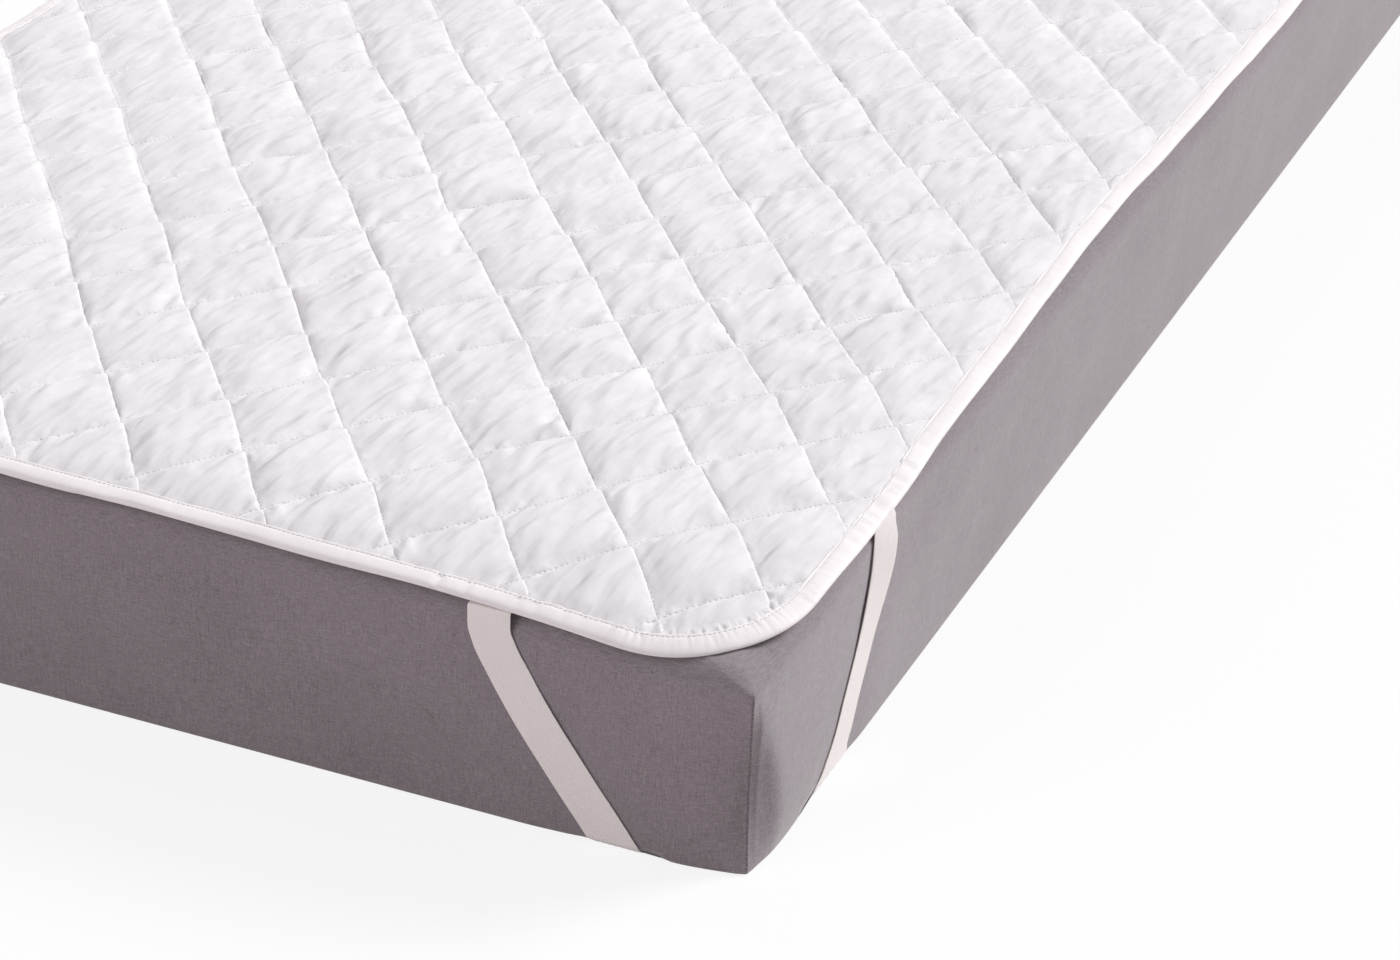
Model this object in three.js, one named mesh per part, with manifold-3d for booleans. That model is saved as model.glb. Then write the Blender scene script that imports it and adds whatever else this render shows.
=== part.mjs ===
// A quilted mattress protector, held on a plain mattress by an elastic strap under each corner.
// Millimetres, +Z up. The origin is on the floor under the middle of the mattress, X runs across
// the bed and Y along it.
import * as THREE from 'three';
import Module from 'manifold-3d';
import { mergeVertices } from 'three/addons/utils/BufferGeometryUtils.js';

const wasm = await Module();
wasm.setup();

// ---- driving dimensions ----

const mattressSize = {
  width: 900,
  length: 2000,
  height: 160,          // at the middle of the top
  sideCorner: 14,       // radius of the upright corners, seen from above
  topCorner: 94,        // radius that the corners of the top widen to
  cornerGrowth: 2.5,    // how fast they widen, per millimetre of inset
  bottomRound: 10,
  shoulderWide: 24,     // the rounded shoulder between side and top
  shoulderHigh: 16,
};

// The top falls away towards its edges, and most of all at the corners.
const edgeFall = {
  sides: 5,
  corners: 16,          // more than that at the corners
  cornerReach: 200,
  reach: 180,           // how far in from the edge the fall begins
  bareCorners: 5,       // more again on the mattress, round each corner that the pad leaves bare
  bareReach: 90,
};

const padSize = {
  overhang: 2,          // past the side of the mattress
  corner: 93,
  leastCorner: 15,      // of the rings that shape it further in
  channelThick: 2.5,    // at the sewn channels
  puffHeight: 6.5,      // of each diamond's middle above its channels
  puffFadeFrom: 12,     // the filling is pressed thin towards the binding
  puffFadeTo: 46,
  seatGap: 0.3,         // between pad and mattress
  edgeLift: 1.7,        // more than that towards the edge, where the cloth bridges the shoulder
  edgeLiftReach: 110,
};

// Diamonds of the quilting: half their diagonals, and the place of one crossing.
const quilt = { halfX: 44, halfY: 54, crossingX: 157.7, crossingY: -1028.8 };

// Slow waves of the pad's rim: rise, length of one wave across and along the bed, and where it starts.
const rimWaves = [
  { rise: 1.1, across: 330, along: 410, start: 0.4 },
  { rise: 0.7, across: -520, along: 290, start: 2.1 },
];
const rimWaveReach = 60;

const binding = { width: 11.5, thick: 1.1, gap: 0.3, rimThick: 3.0, bevel: 2.0 };
const rimJoin = { knee: 12.5, wall: 13, inner: 17, bite: 0.6 };

// The elastic under each corner: its width, its two arms and the crossing below.
const elastic = {
  width: 28,
  thick: 1.2,
  faceGap: 0.35,        // to the side of the mattress
  rimGap: 0.6,          // to the binding above its sewn end
  floorGap: 0.1,        // below it, under the mattress
  grooveGap: 0.5,       // all round it, where it sinks into the bottom
  tuck: 9,              // how far its sewn end reaches in under the rim
  grooveOut: 3,         // how far the tool that cuts its groove stands out
  bend: 4,              // radius where it turns down from under the rim
};

// Centre of each arm: height above the floor and distance from the upright corner.
const endArm = [
  { high: 134, fromCorner: 169.5 },
  { high: 122, fromCorner: 166 },
  { high: 104, fromCorner: 156.5 },
  { high: 83, fromCorner: 144 },
  { high: 44, fromCorner: 117 },
  { high: 10, fromCorner: 92 },
];
const sideArm = [
  { high: 134, fromCorner: 213 },
  { high: 116, fromCorner: 211.5 },
  { high: 98, fromCorner: 206 },
  { high: 78, fromCorner: 198 },
  { high: 44, fromCorner: 176 },
  { high: 10, fromCorner: 151 },
];
const lowestSlant = 0.72;   // sideways per millimetre, where each arm runs under the mattress

const cornerSteps = 7;
const stationsAcross = 8;   // intervals between the rounded corners
const stationsAlong = 18;
const crossSteps = 5;       // intervals of the elastic, where it crosses under the mattress

// Where the rings of a loft lie: distances in from the edge, and angles round a bend.
const bottomAngles = [90, 60, 30, 0];
const shoulderAngles = [0, 25, 50, 70, 90];
const mattressTopInsets = [45, 75, 120, edgeFall.reach];
const undersideInsets = [rimJoin.wall, 30, 55, 90, 130, edgeFall.reach + padSize.overhang];
const bendAngles = [90, 60, 30, 0];
const wrapAngles = [30, 60, 90];

// Blocks that trim the quilted top: they reach this low and high, and this far past the pad's outline.
const trim = { low: 80, quiltLow: 90, columnLow: 95, columnHigh: 190, past: 10 };

// ---- the shape of the top ----

const halfWidth = mattressSize.width / 2;
const halfLength = mattressSize.length / 2;

// From 1 at a corner of the bed down towards 0 beyond the reach.
function nearCorner(x, y, reach) {
  const fromSide = halfWidth - Math.abs(x);
  const fromEnd = halfLength - Math.abs(y);
  return Math.exp(-(fromSide ** 2 + fromEnd ** 2) / reach ** 2);
}

function fallAtEdge(x, y) {
  return edgeFall.sides + edgeFall.corners * nearCorner(x, y, edgeFall.cornerReach);
}

function fallShare(inset) {
  const share = 1 - THREE.MathUtils.clamp(inset, 0, edgeFall.reach) / edgeFall.reach;
  return share ** 2;
}

// Distance in from the pad's outline, a rectangle with rounded corners.
function padInset(x, y) {
  const acrossCore = halfWidth + padSize.overhang - padSize.corner;
  const alongCore = halfLength + padSize.overhang - padSize.corner;
  const overX = Math.abs(x) - acrossCore;
  const overY = Math.abs(y) - alongCore;
  const outside = Math.hypot(Math.max(overX, 0), Math.max(overY, 0));
  return padSize.corner - outside - Math.min(Math.max(overX, overY), 0);
}

function rimWave(x, y, inset) {
  const share = 1 - THREE.MathUtils.smoothstep(inset, 0, rimWaveReach);
  let rise = 0;
  for (const wave of rimWaves) {
    const turn = 2 * Math.PI * (x / wave.across + y / wave.along);
    rise += wave.rise * Math.sin(turn + wave.start);
  }
  return rise * share;
}

function padUnderside(x, y) {
  const inset = Math.max(padInset(x, y), 0);
  const lift = padSize.edgeLift * Math.exp(-((inset / padSize.edgeLiftReach) ** 2));
  const flat = inset >= edgeFall.reach;
  const resting = mattressSize.height + padSize.seatGap;
  return flat ? resting : resting + lift - fallAtEdge(x, y) * fallShare(inset) + rimWave(x, y, inset);
}

// ---- meshes from rings, grids and ribbons ----

// Points round a rectangle with rounded corners, counter-clockwise seen from above.
function outline(inset, radius) {
  const acrossCore = halfWidth - inset - radius;
  const alongCore = halfLength - inset - radius;
  const corners = [
    { x: acrossCore, y: -alongCore, start: -90, next: stationsAlong },
    { x: acrossCore, y: alongCore, start: 0, next: stationsAcross },
    { x: -acrossCore, y: alongCore, start: 90, next: stationsAlong },
    { x: -acrossCore, y: -alongCore, start: 180, next: stationsAcross },
  ];
  const onArc = (corner, angle) => {
    const turn = THREE.MathUtils.degToRad(angle);
    return new THREE.Vector2(corner.x + radius * Math.cos(turn), corner.y + radius * Math.sin(turn));
  };
  const points = [];
  corners.forEach((corner, index) => {
    for (let step = 0; step <= cornerSteps; step += 1) {
      points.push(onArc(corner, corner.start + (90 * step) / cornerSteps));
    }
    const arcEnd = onArc(corner, corner.start + 90);
    const following = corners[(index + 1) % corners.length];
    const nextArc = onArc(following, following.start);
    for (let step = 1; step < corner.next; step += 1) {
      points.push(arcEnd.clone().lerp(nextArc, step / corner.next));
    }
  });
  return points;
}

// One ring of a loft, at the height that heightAt gives for each of its points.
function ring(inset, radius, heightAt) {
  return outline(inset, radius).map((p) => new THREE.Vector3(p.x, p.y, heightAt(p.x, p.y)));
}

function geometryFrom(points, faces) {
  const geometry = new THREE.BufferGeometry();
  const coordinates = points.flatMap((p) => [p.x, p.y, p.z]);
  geometry.setAttribute('position', new THREE.Float32BufferAttribute(coordinates, 3));
  geometry.setIndex(faces.flat());
  return geometry;
}

function joinRings(faces, first, second, count) {
  for (let index = 0; index < count; index += 1) {
    const next = (index + 1) % count;
    faces.push([first + index, first + next, second + next]);
    faces.push([first + index, second + next, second + index]);
  }
}

// A solid stacked from rings, lowest first, closed by a flat cap at each end.
function stackedRings(rings) {
  const count = rings[0].length;
  const points = rings.flat();
  const faces = [];
  for (let level = 0; level < rings.length - 1; level += 1) {
    joinRings(faces, level * count, (level + 1) * count, count);
  }
  const capCentre = (level) => {
    points.push(new THREE.Vector3(0, 0, rings[level][0].z));
    return points.length - 1;
  };
  const bottom = capCentre(0);
  const top = capCentre(rings.length - 1);
  const topStart = (rings.length - 1) * count;
  for (let index = 0; index < count; index += 1) {
    const next = (index + 1) % count;
    faces.push([bottom, next, index]);
    faces.push([top, topStart + index, topStart + next]);
  }
  return geometryFrom(points, faces);
}

// A closed hoop whose section is a list of rings, each one corner of the section.
function hoop(rings) {
  const count = rings[0].length;
  const faces = [];
  for (let corner = 0; corner < rings.length; corner += 1) {
    joinRings(faces, corner * count, ((corner + 1) % rings.length) * count, count);
  }
  return geometryFrom(rings.flat(), faces);
}

// A strip from stations of four points each: inner left, inner right, outer right, outer left.
function ribbon(stations) {
  const faces = [];
  for (let index = 0; index < stations.length - 1; index += 1) {
    for (let side = 0; side < 4; side += 1) {
      const a = index * 4 + side;
      const b = index * 4 + ((side + 1) % 4);
      faces.push([a, b, b + 4]);
      faces.push([a, b + 4, a + 4]);
    }
  }
  const last = (stations.length - 1) * 4;
  faces.push([0, 2, 1], [0, 3, 2], [last, last + 1, last + 2], [last, last + 2, last + 3]);
  return geometryFrom(stations.flat(), faces);
}

function signedVolume(geometry) {
  const position = geometry.getAttribute('position');
  const index = geometry.getIndex();
  const [a, b, c] = [new THREE.Vector3(), new THREE.Vector3(), new THREE.Vector3()];
  let volume = 0;
  for (let i = 0; i < index.count; i += 3) {
    a.fromBufferAttribute(position, index.getX(i));
    b.fromBufferAttribute(position, index.getX(i + 1));
    c.fromBufferAttribute(position, index.getX(i + 2));
    volume += a.dot(b.cross(c)) / 6;
  }
  return volume;
}

function facingOut(geometry) {
  if (signedVolume(geometry) < 0) {
    geometry.setIndex(Array.from(geometry.getIndex().array).reverse());
  }
  return geometry;
}

function toSolid(geometry) {
  const merged = mergeVertices(facingOut(geometry), 1e-4);
  return new wasm.Manifold(new wasm.Mesh({
    numProp: 3,
    vertProperties: new Float32Array(merged.getAttribute('position').array),
    triVerts: new Uint32Array(merged.getIndex().array),
  }));
}

function toGeometry(solid) {
  const mesh = solid.getMesh();
  const geometry = new THREE.BufferGeometry();
  geometry.setAttribute('position', new THREE.Float32BufferAttribute(mesh.vertProperties, 3));
  geometry.setIndex(Array.from(mesh.triVerts));
  return geometry;
}

// ---- mattress ----

function topCornerRadius(inset) {
  const grown = mattressSize.sideCorner + mattressSize.cornerGrowth * inset;
  return Math.min(grown, mattressSize.topCorner);
}

function mattressSolid() {
  const rings = [];
  const round = mattressSize.bottomRound;
  for (const angle of bottomAngles) {
    const turn = THREE.MathUtils.degToRad(angle);
    const inset = round * (1 - Math.cos(turn));
    rings.push(ring(inset, mattressSize.sideCorner - inset, () => round * (1 - Math.sin(turn))));
  }
  const topRing = (inset, below) => {
    const bare = (x, y) => edgeFall.bareCorners * nearCorner(x, y, edgeFall.bareReach);
    const fallAt = (x, y) => fallAtEdge(x, y) + bare(x, y);
    const heightAt = (x, y) => mattressSize.height - below - fallAt(x, y) * fallShare(inset);
    rings.push(ring(inset, topCornerRadius(inset), heightAt));
  };
  for (const angle of shoulderAngles) {
    const turn = THREE.MathUtils.degToRad(angle);
    const inset = mattressSize.shoulderWide * (1 - Math.cos(turn));
    topRing(inset, mattressSize.shoulderHigh * (1 - Math.sin(turn)));
  }
  for (const inset of mattressTopInsets) {
    topRing(inset, 0);
  }
  return toSolid(stackedRings(rings));
}

// ---- quilted pad ----

function padOutline(inset, heightAt) {
  return ring(inset - padSize.overhang, Math.max(padSize.corner - inset, padSize.leastCorner), heightAt);
}

function padRing(inset, above) {
  return padOutline(inset, (x, y) => padUnderside(x, y) + above);
}

// Everything under the quilted top: crossings of the channels are low, middles of the diamonds high.
function quiltedTop() {
  const columns = [];
  const rows = [];
  const firstColumn = Math.ceil((-halfWidth - quilt.crossingX) / quilt.halfX) - 1;
  const lastColumn = Math.floor((halfWidth - quilt.crossingX) / quilt.halfX) + 1;
  const firstRow = Math.ceil((-halfLength - quilt.crossingY) / quilt.halfY) - 1;
  const lastRow = Math.floor((halfLength - quilt.crossingY) / quilt.halfY) + 1;
  for (let column = firstColumn; column <= lastColumn; column += 1) {
    columns.push(column);
  }
  for (let row = firstRow; row <= lastRow; row += 1) {
    rows.push(row);
  }
  const isCrossing = (column, row) => (column + row) % 2 === 0;
  const tops = [];
  for (const row of rows) {
    for (const column of columns) {
      const x = quilt.crossingX + column * quilt.halfX;
      const y = quilt.crossingY + row * quilt.halfY;
      const filled = THREE.MathUtils.smoothstep(padInset(x, y), padSize.puffFadeFrom, padSize.puffFadeTo);
      const puff = isCrossing(column, row) ? 0 : padSize.puffHeight * filled;
      tops.push(new THREE.Vector3(x, y, padUnderside(x, y) + padSize.channelThick + puff));
    }
  }
  const wide = columns.length;
  const lift = tops.length;
  const points = [...tops, ...tops.map((p) => new THREE.Vector3(p.x, p.y, trim.quiltLow))];
  const faces = [];
  for (let r = 0; r < rows.length - 1; r += 1) {
    for (let c = 0; c < wide - 1; c += 1) {
      const [a, b] = [r * wide + c, r * wide + c + 1];
      const [d, e] = [a + wide, b + wide];
      const rising = isCrossing(columns[c], rows[r]);
      const halves = rising ? [[a, b, e], [a, e, d]] : [[a, b, d], [b, e, d]];
      for (const [i, j, k] of halves) {
        faces.push([i, j, k], [lift + k, lift + j, lift + i]);
      }
    }
  }
  const wall = (from, to) => faces.push([to, from, from + lift], [to, from + lift, to + lift]);
  for (let c = 0; c < wide - 1; c += 1) {
    wall(c, c + 1);
    wall((rows.length - 1) * wide + c + 1, (rows.length - 1) * wide + c);
  }
  for (let r = 0; r < rows.length - 1; r += 1) {
    wall((r + 1) * wide, r * wide);
    wall(r * wide + wide - 1, (r + 1) * wide + wide - 1);
  }
  return toSolid(geometryFrom(points, faces));
}

// The thin rim that the binding folds round, with an inner edge that bites into the filled part.
function padRim() {
  const { knee, inner, bite } = rimJoin;
  const thick = binding.rimThick;
  return toSolid(hoop([
    padRing(0, 0),
    padRing(0, thick),
    padRing(knee, thick),
    padRing(inner, thick - bite),
    padRing(inner, bite),
    padRing(knee, 0),
  ]));
}

function padSolid() {
  const columnEnds = [trim.columnLow, trim.columnHigh];
  const column = toSolid(stackedRings(columnEnds.map((z) => padOutline(rimJoin.wall, () => z))));
  const shaped = [-trim.past, ...undersideInsets].map((inset) => padRing(inset, 0));
  const below = toSolid(stackedRings([padOutline(-trim.past, () => trim.low), ...shaped]));
  return quiltedTop().intersect(column).subtract(below).add(padRim());
}

// ---- edge binding ----

// A folded tape round the rim: over it, round its edge and back under it.
function bindingSolid() {
  const { width, thick, gap, rimThick, bevel } = binding;
  const top = rimThick + gap;
  const outer = -gap - thick;
  return toSolid(hoop([
    padRing(width, top + thick),
    padRing(outer + bevel, top + thick),
    padRing(outer, top + thick - bevel),
    padRing(outer, outer + bevel),
    padRing(outer + bevel, outer),
    padRing(width, outer),
    padRing(width, -gap),
    padRing(-gap, -gap),
    padRing(-gap, top),
    padRing(width, top),
  ]));
}

// ---- corner elastics ----

const underRim = binding.gap + binding.thick;

// Which corner of the bed: signs of its x and y.
const corners = [
  { name: 'front_right', signX: 1, signY: -1 },
  { name: 'front_left', signX: -1, signY: -1 },
  { name: 'back_right', signX: 1, signY: 1 },
  { name: 'back_left', signX: -1, signY: 1 },
];

// An arm runs down one face: along is the distance from the corner, out the distance off the face.
function onFace(corner, face, along, out, z) {
  return face === 'end'
    ? new THREE.Vector3(corner.signX * (halfWidth - along), corner.signY * (halfLength + out), z)
    : new THREE.Vector3(corner.signX * (halfWidth + out), corner.signY * (halfLength - along), z);
}

// One cross-line of the strip on a face, between its two edges and its two surfaces.
function faceStation(corner, face, at, grow) {
  const { along, slant, out, z, normal } = at;
  const half = (elastic.width / 2 + grow.side) * Math.hypot(1, slant);
  const inward = elastic.thick / 2 + grow.inner;
  const outward = elastic.thick / 2 + grow.outer;
  const point = (side, away) => {
    return onFace(corner, face, along + side * half, out + normal.x * away, z + normal.y * away);
  };
  return [point(1, -inward), point(-1, -inward), point(-1, outward), point(1, outward)];
}

// Cross-lines of one arm, from its sewn end down to where it lies flat under the mattress.
function armStations(corner, face, arm, grow) {
  const stations = [];
  const push = (at) => stations.push(faceStation(corner, face, at, grow));
  const onSide = elastic.faceGap + elastic.thick / 2;
  const top = arm[0];
  const rimAt = (out) => {
    const lowest = Math.min(...[-1, 1].map((side) => {
      const p = onFace(corner, face, top.fromCorner + (side * elastic.width) / 2, out, 0);
      return padUnderside(p.x, p.y);
    }));
    return lowest - underRim - elastic.rimGap - elastic.thick / 2;
  };
  const bendTop = rimAt(onSide - elastic.bend);
  const up = new THREE.Vector2(0, 1);
  push({ along: top.fromCorner, slant: 0, out: -elastic.tuck, z: rimAt(-elastic.tuck), normal: up });
  for (const angle of bendAngles) {
    const turn = THREE.MathUtils.degToRad(angle);
    const normal = new THREE.Vector2(Math.cos(turn), Math.sin(turn));
    const out = onSide - elastic.bend * (1 - normal.x);
    push({ along: top.fromCorner, slant: 0, out, z: bendTop - elastic.bend * (1 - normal.y), normal });
  }
  const outward = new THREE.Vector2(1, 0);
  arm.forEach((row, index) => {
    const before = arm[Math.max(index - 1, 0)];
    const after = arm[Math.min(index + 1, arm.length - 1)];
    const isEnd = index === arm.length - 1;
    const leaning = (before.fromCorner - after.fromCorner) / (before.high - after.high);
    const slant = isEnd ? lowestSlant : leaning;
    push({ along: row.fromCorner, slant, out: onSide, z: row.high, normal: outward });
  });
  // round the bottom edge, sinking from proud of the side to flush with the bottom
  const round = mattressSize.bottomRound;
  const sunk = elastic.floorGap + elastic.thick / 2;
  for (const angle of wrapAngles) {
    const turn = THREE.MathUtils.degToRad(angle);
    const away = THREE.MathUtils.lerp(round + onSide, round - sunk, angle / 90);
    const along = arm[arm.length - 1].fromCorner - lowestSlant * round * turn;
    const normal = new THREE.Vector2(Math.cos(turn), -Math.sin(turn));
    push({
      along, slant: lowestSlant, out: away * normal.x - round, z: round + away * normal.y, normal,
    });
  }
  return stations;
}

// The whole strip: down the end face, across under the corner and up the side face.
function elasticStations(corner, grow) {
  const down = armStations(corner, 'end', endArm, grow);
  const up = armStations(corner, 'side', sideArm, grow).reverse();
  const from = down[down.length - 1];
  const to = up[0];
  const across = [];
  for (let step = 1; step < crossSteps; step += 1) {
    const share = step / crossSteps;
    across.push(from.map((point, index) => point.clone().lerp(to[index], share)));
  }
  return [...down, ...across, ...up];
}

const grooveGrow = {
  side: elastic.grooveGap,
  inner: elastic.grooveGap,
  outer: elastic.grooveOut,
};

function elasticSolid(corner) {
  return toSolid(ribbon(elasticStations(corner, { side: 0, inner: 0, outer: 0 })));
}

// ---- the model ----

const finishes = {
  cover: { color: 0x7d7579, roughness: 0.92, metalness: 0 },
  quilt: { color: 0xf3f1f5, roughness: 0.7, metalness: 0 },
  tape: { color: 0xf1ebe9, roughness: 0.65, metalness: 0 },
  strap: { color: 0xd6cfcb, roughness: 0.8, metalness: 0 },
};

const group = new THREE.Group();

function addPiece(name, solid, finish) {
  const mesh = new THREE.Mesh(toGeometry(solid), new THREE.MeshStandardMaterial(finish));
  mesh.name = name;
  group.add(mesh);
}

let mattress = mattressSolid();
for (const corner of corners) {
  mattress = mattress.subtract(toSolid(ribbon(elasticStations(corner, grooveGrow))));
}
addPiece('mattress', mattress, finishes.cover);
addPiece('quilted_pad', padSolid(), finishes.quilt);
addPiece('edge_binding', bindingSolid(), finishes.tape);
for (const corner of corners) {
  addPiece(`corner_elastic_${corner.name}`, elasticSolid(corner), finishes.strap);
}

export default group;
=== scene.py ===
import math

import bpy
import numpy as np
from mathutils import Matrix, Vector


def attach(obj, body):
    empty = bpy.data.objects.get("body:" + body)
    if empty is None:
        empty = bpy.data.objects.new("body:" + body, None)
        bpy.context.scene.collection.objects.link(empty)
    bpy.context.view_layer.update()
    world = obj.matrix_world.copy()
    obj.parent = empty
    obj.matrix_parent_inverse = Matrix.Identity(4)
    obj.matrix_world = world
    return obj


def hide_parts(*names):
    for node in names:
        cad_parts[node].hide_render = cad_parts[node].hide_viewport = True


# Quilted mattress protector on a plain mattress, with an elastic under each corner.
# Shapes are worked out in millimetres and turned into metres when a mesh is made.
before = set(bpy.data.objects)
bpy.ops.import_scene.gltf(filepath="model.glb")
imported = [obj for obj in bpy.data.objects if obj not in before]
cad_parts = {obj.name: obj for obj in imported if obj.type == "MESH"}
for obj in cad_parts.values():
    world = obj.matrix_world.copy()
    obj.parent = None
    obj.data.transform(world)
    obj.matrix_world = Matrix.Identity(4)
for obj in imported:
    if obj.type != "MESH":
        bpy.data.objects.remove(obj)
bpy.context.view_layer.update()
mm = 0.001

cameraSet = {
    "place": (1.1195, -2.6906, 1.2559),
    "heading": 22.702,     # degrees from +Y towards -X
    "downward": 28.472,
    "roll": 1.624,
    "lens": 95.6,
    "sensor": 36,
    "clip": (0.05, 60),
}


def linked(name, data):
    made = bpy.data.objects.new(name, data)
    bpy.context.collection.objects.link(made)
    return made


def makeCamera():
    data = bpy.data.cameras.new("camera")
    data.sensor_width = cameraSet["sensor"]
    data.lens = cameraSet["lens"]
    data.clip_start, data.clip_end = cameraSet["clip"]
    camera = linked("camera", data)
    turn, dip, roll = (math.radians(cameraSet[key]) for key in ("heading", "downward", "roll"))
    forward = Vector((-math.sin(turn) * math.cos(dip), math.cos(turn) * math.cos(dip), -math.sin(dip)))
    level = Vector((math.cos(turn), math.sin(turn), 0))
    right = level * math.cos(roll) + level.cross(forward) * math.sin(roll)
    axes = Matrix((right, right.cross(forward), -forward)).transposed().to_4x4()
    camera.matrix_world = Matrix.Translation(cameraSet["place"]) @ axes
    bpy.context.scene.camera = camera


makeCamera()
print("camera placed")

# mattress, and how its top falls away towards the edges and corners
bed = {
    "halfWidth": 450,
    "halfLength": 1000,
    "height": 160,
    "topCorner": 94,       # radius that the corners of the top widen to
    "shoulderWide": 24,
    "shoulderHigh": 16,
    "fallSides": 5,
    "fallCorners": 16,
    "cornerReach": 200,
    "fallReach": 180,
    "bareCorners": 5,
    "bareReach": 90,
}

# the protector's outline and thickness
pad = {
    "overhang": 2,
    "corner": 93,
    "channelThick": 2.5,
    "rimThick": 3.0,
    "edgeThinner": 1.3,    # pressed thinner inside the binding
    "uneven": 0.1,         # how far the puffs differ in size
    "seatGap": 0.3,
    "edgeLift": 1.7,
    "edgeLiftReach": 110,
    "wavesReach": 60,      # how far in the rim's waves and its sags are felt
    "sagsReach": 70,
    "sharpest": 15,        # smallest radius of a ring's corners
    "pinnedFrom": 11.2,    # the puffs start here, just inside the binding
    "pinnedReach": 7.0,
}
padHalfWidth, padHalfLength = bed["halfWidth"] + pad["overhang"], bed["halfLength"] + pad["overhang"]

quilt = {"halfX": 44, "halfY": 54, "crossingX": 157.7, "crossingY": -1028.8}
diamondSide = math.hypot(quilt["halfX"], quilt["halfY"])

# slow rise and fall of the rim: how high, wave length across and along the bed, start
rimWaves = [(1.1, 330, 410, 0.4), (0.7, -520, 290, 2.1)]
# where the rim sags: place, how wide, how far down
rimSags = [(190, -1000, 105, 4.6), (402, -1000, 55, 2.6)]


def smoothStep(value, low, high):
    t = np.clip((value - low) / (high - low), 0, 1)
    return t * t * (3 - 2 * t)


def bell(distance, wide):
    return np.exp(-(distance / wide) ** 2)


# a set of random sine waves; heading is the direction across the ripples, in degrees from +X
def rippleSet(seed, count, longest, shortest, heading=None, spread=20):
    chance = np.random.default_rng(seed)
    lengths = chance.uniform(shortest, longest, count)
    angles = chance.uniform(0, 360, count) if heading is None else chance.normal(heading, spread, count)
    turn = np.radians(angles)
    start = chance.uniform(0, 2 * np.pi, count)
    return np.stack([2 * np.pi * np.cos(turn) / lengths, 2 * np.pi * np.sin(turn) / lengths, start])


def ripple(waves, x, y):
    total = np.zeros(np.shape(x))
    for kx, ky, start in waves.T:
        total += np.sin(kx * x + ky * y + start)
    return total * math.sqrt(2 / waves.shape[1])


# the same along a line, such as the run of the binding
def lineSet(seed, count, longest, shortest):
    return rippleSet(seed, count, longest, shortest, heading=0, spread=0)


def lineRipple(waves, run):
    return ripple(waves, run, 0 * run)


def fromEnds(x, y):   # distance in from the side and from the end of the bed
    return bed["halfWidth"] - np.abs(x), bed["halfLength"] - np.abs(y)


def nearCorner(x, y, reach):
    fromSide, fromEnd = fromEnds(x, y)
    return np.exp(-(fromSide ** 2 + fromEnd ** 2) / reach ** 2)


def fallAtEdge(x, y):
    return bed["fallSides"] + bed["fallCorners"] * nearCorner(x, y, bed["cornerReach"])


def fallShare(inset):
    return (1 - np.clip(inset, 0, bed["fallReach"]) / bed["fallReach"]) ** 2


def padOver(x, y):
    return np.abs(x) - (padHalfWidth - pad["corner"]), np.abs(y) - (padHalfLength - pad["corner"])


# distance in from the protector's outline
def padInset(x, y):
    overX, overY = padOver(x, y)
    outside = np.hypot(np.maximum(overX, 0), np.maximum(overY, 0))
    return pad["corner"] - outside - np.minimum(np.maximum(overX, overY), 0)


# direction straight out to the protector's rim
def padNormal(x, y):
    overX, overY = padOver(x, y)
    atCorner = (overX > 0) & (overY > 0)
    away = np.maximum(np.hypot(overX, overY), 1e-6)
    nx = np.where(atCorner, overX / away, (overX >= overY) * 1.0) * np.sign(x)
    ny = np.where(atCorner, overY / away, (overX < overY) * 1.0) * np.sign(y)
    return nx, ny


def rimSag(x, y):
    share = 1 - smoothStep(np.minimum(*fromEnds(x, y)), 0, pad["sagsReach"])
    total = 0
    for sagX, sagY, reach, drop in rimSags:
        total = total + drop * np.exp(-((x - sagX) ** 2 + (y - sagY) ** 2) / reach ** 2) * share
    return total


def padUnderside(x, y):
    inset = np.maximum(padInset(x, y), 0)
    lift = pad["edgeLift"] * bell(inset, pad["edgeLiftReach"])
    rise = 0
    for up, across, along, start in rimWaves:
        rise = rise + up * np.sin(2 * np.pi * (x / across + y / along) + start)
    rise = rise * (1 - smoothStep(inset, 0, pad["wavesReach"])) - rimSag(x, y)
    shaped = lift - fallAtEdge(x, y) * fallShare(inset) + rise
    return bed["height"] + pad["seatGap"] + np.where(inset >= bed["fallReach"], 0, shaped)


# place in the quilting: whole numbers of p and q are the sewn channels
def quiltPlace(x, y):
    across = (x - quilt["crossingX"]) / quilt["halfX"]
    along = (y - quilt["crossingY"]) / quilt["halfY"]
    return (across + along) / 2, (across - along) / 2


def quiltPoint(p, q):
    return quilt["crossingX"] + quilt["halfX"] * (p + q), quilt["crossingY"] + quilt["halfY"] * (p - q)


# the rim swells a little at each puff and is drawn in where a channel ends
rim = {
    "swellOut": 1.2,
    "swellUp": 0.8,
    "reach": 40,
    "probe": 26,           # how far in the puff is measured
    "fullness": 0.7,
}
rimBulges = [  # corner, along which side, distance from the corner, how wide, how far out
    (0, "side", 205, 70, 2.6),
    (0, "side", 480, 160, -1.6),
    (0, "side", 690, 170, -7.5),
    (0, "end", 330, 160, -1.3),
    (1, "side", 240, 80, 1.6),
    (2, "side", 180, 70, 1.9),
    (3, "side", 230, 90, 1.4),
    (2, "end", 260, 120, -0.9),
]
cornerSigns = np.array([(1, -1), (1, 1), (-1, 1), (-1, -1)])


def dome(p, q):
    return np.maximum(np.sin(np.pi * (p % 1)) * np.sin(np.pi * (q % 1)), 0) ** rim["fullness"]


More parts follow.
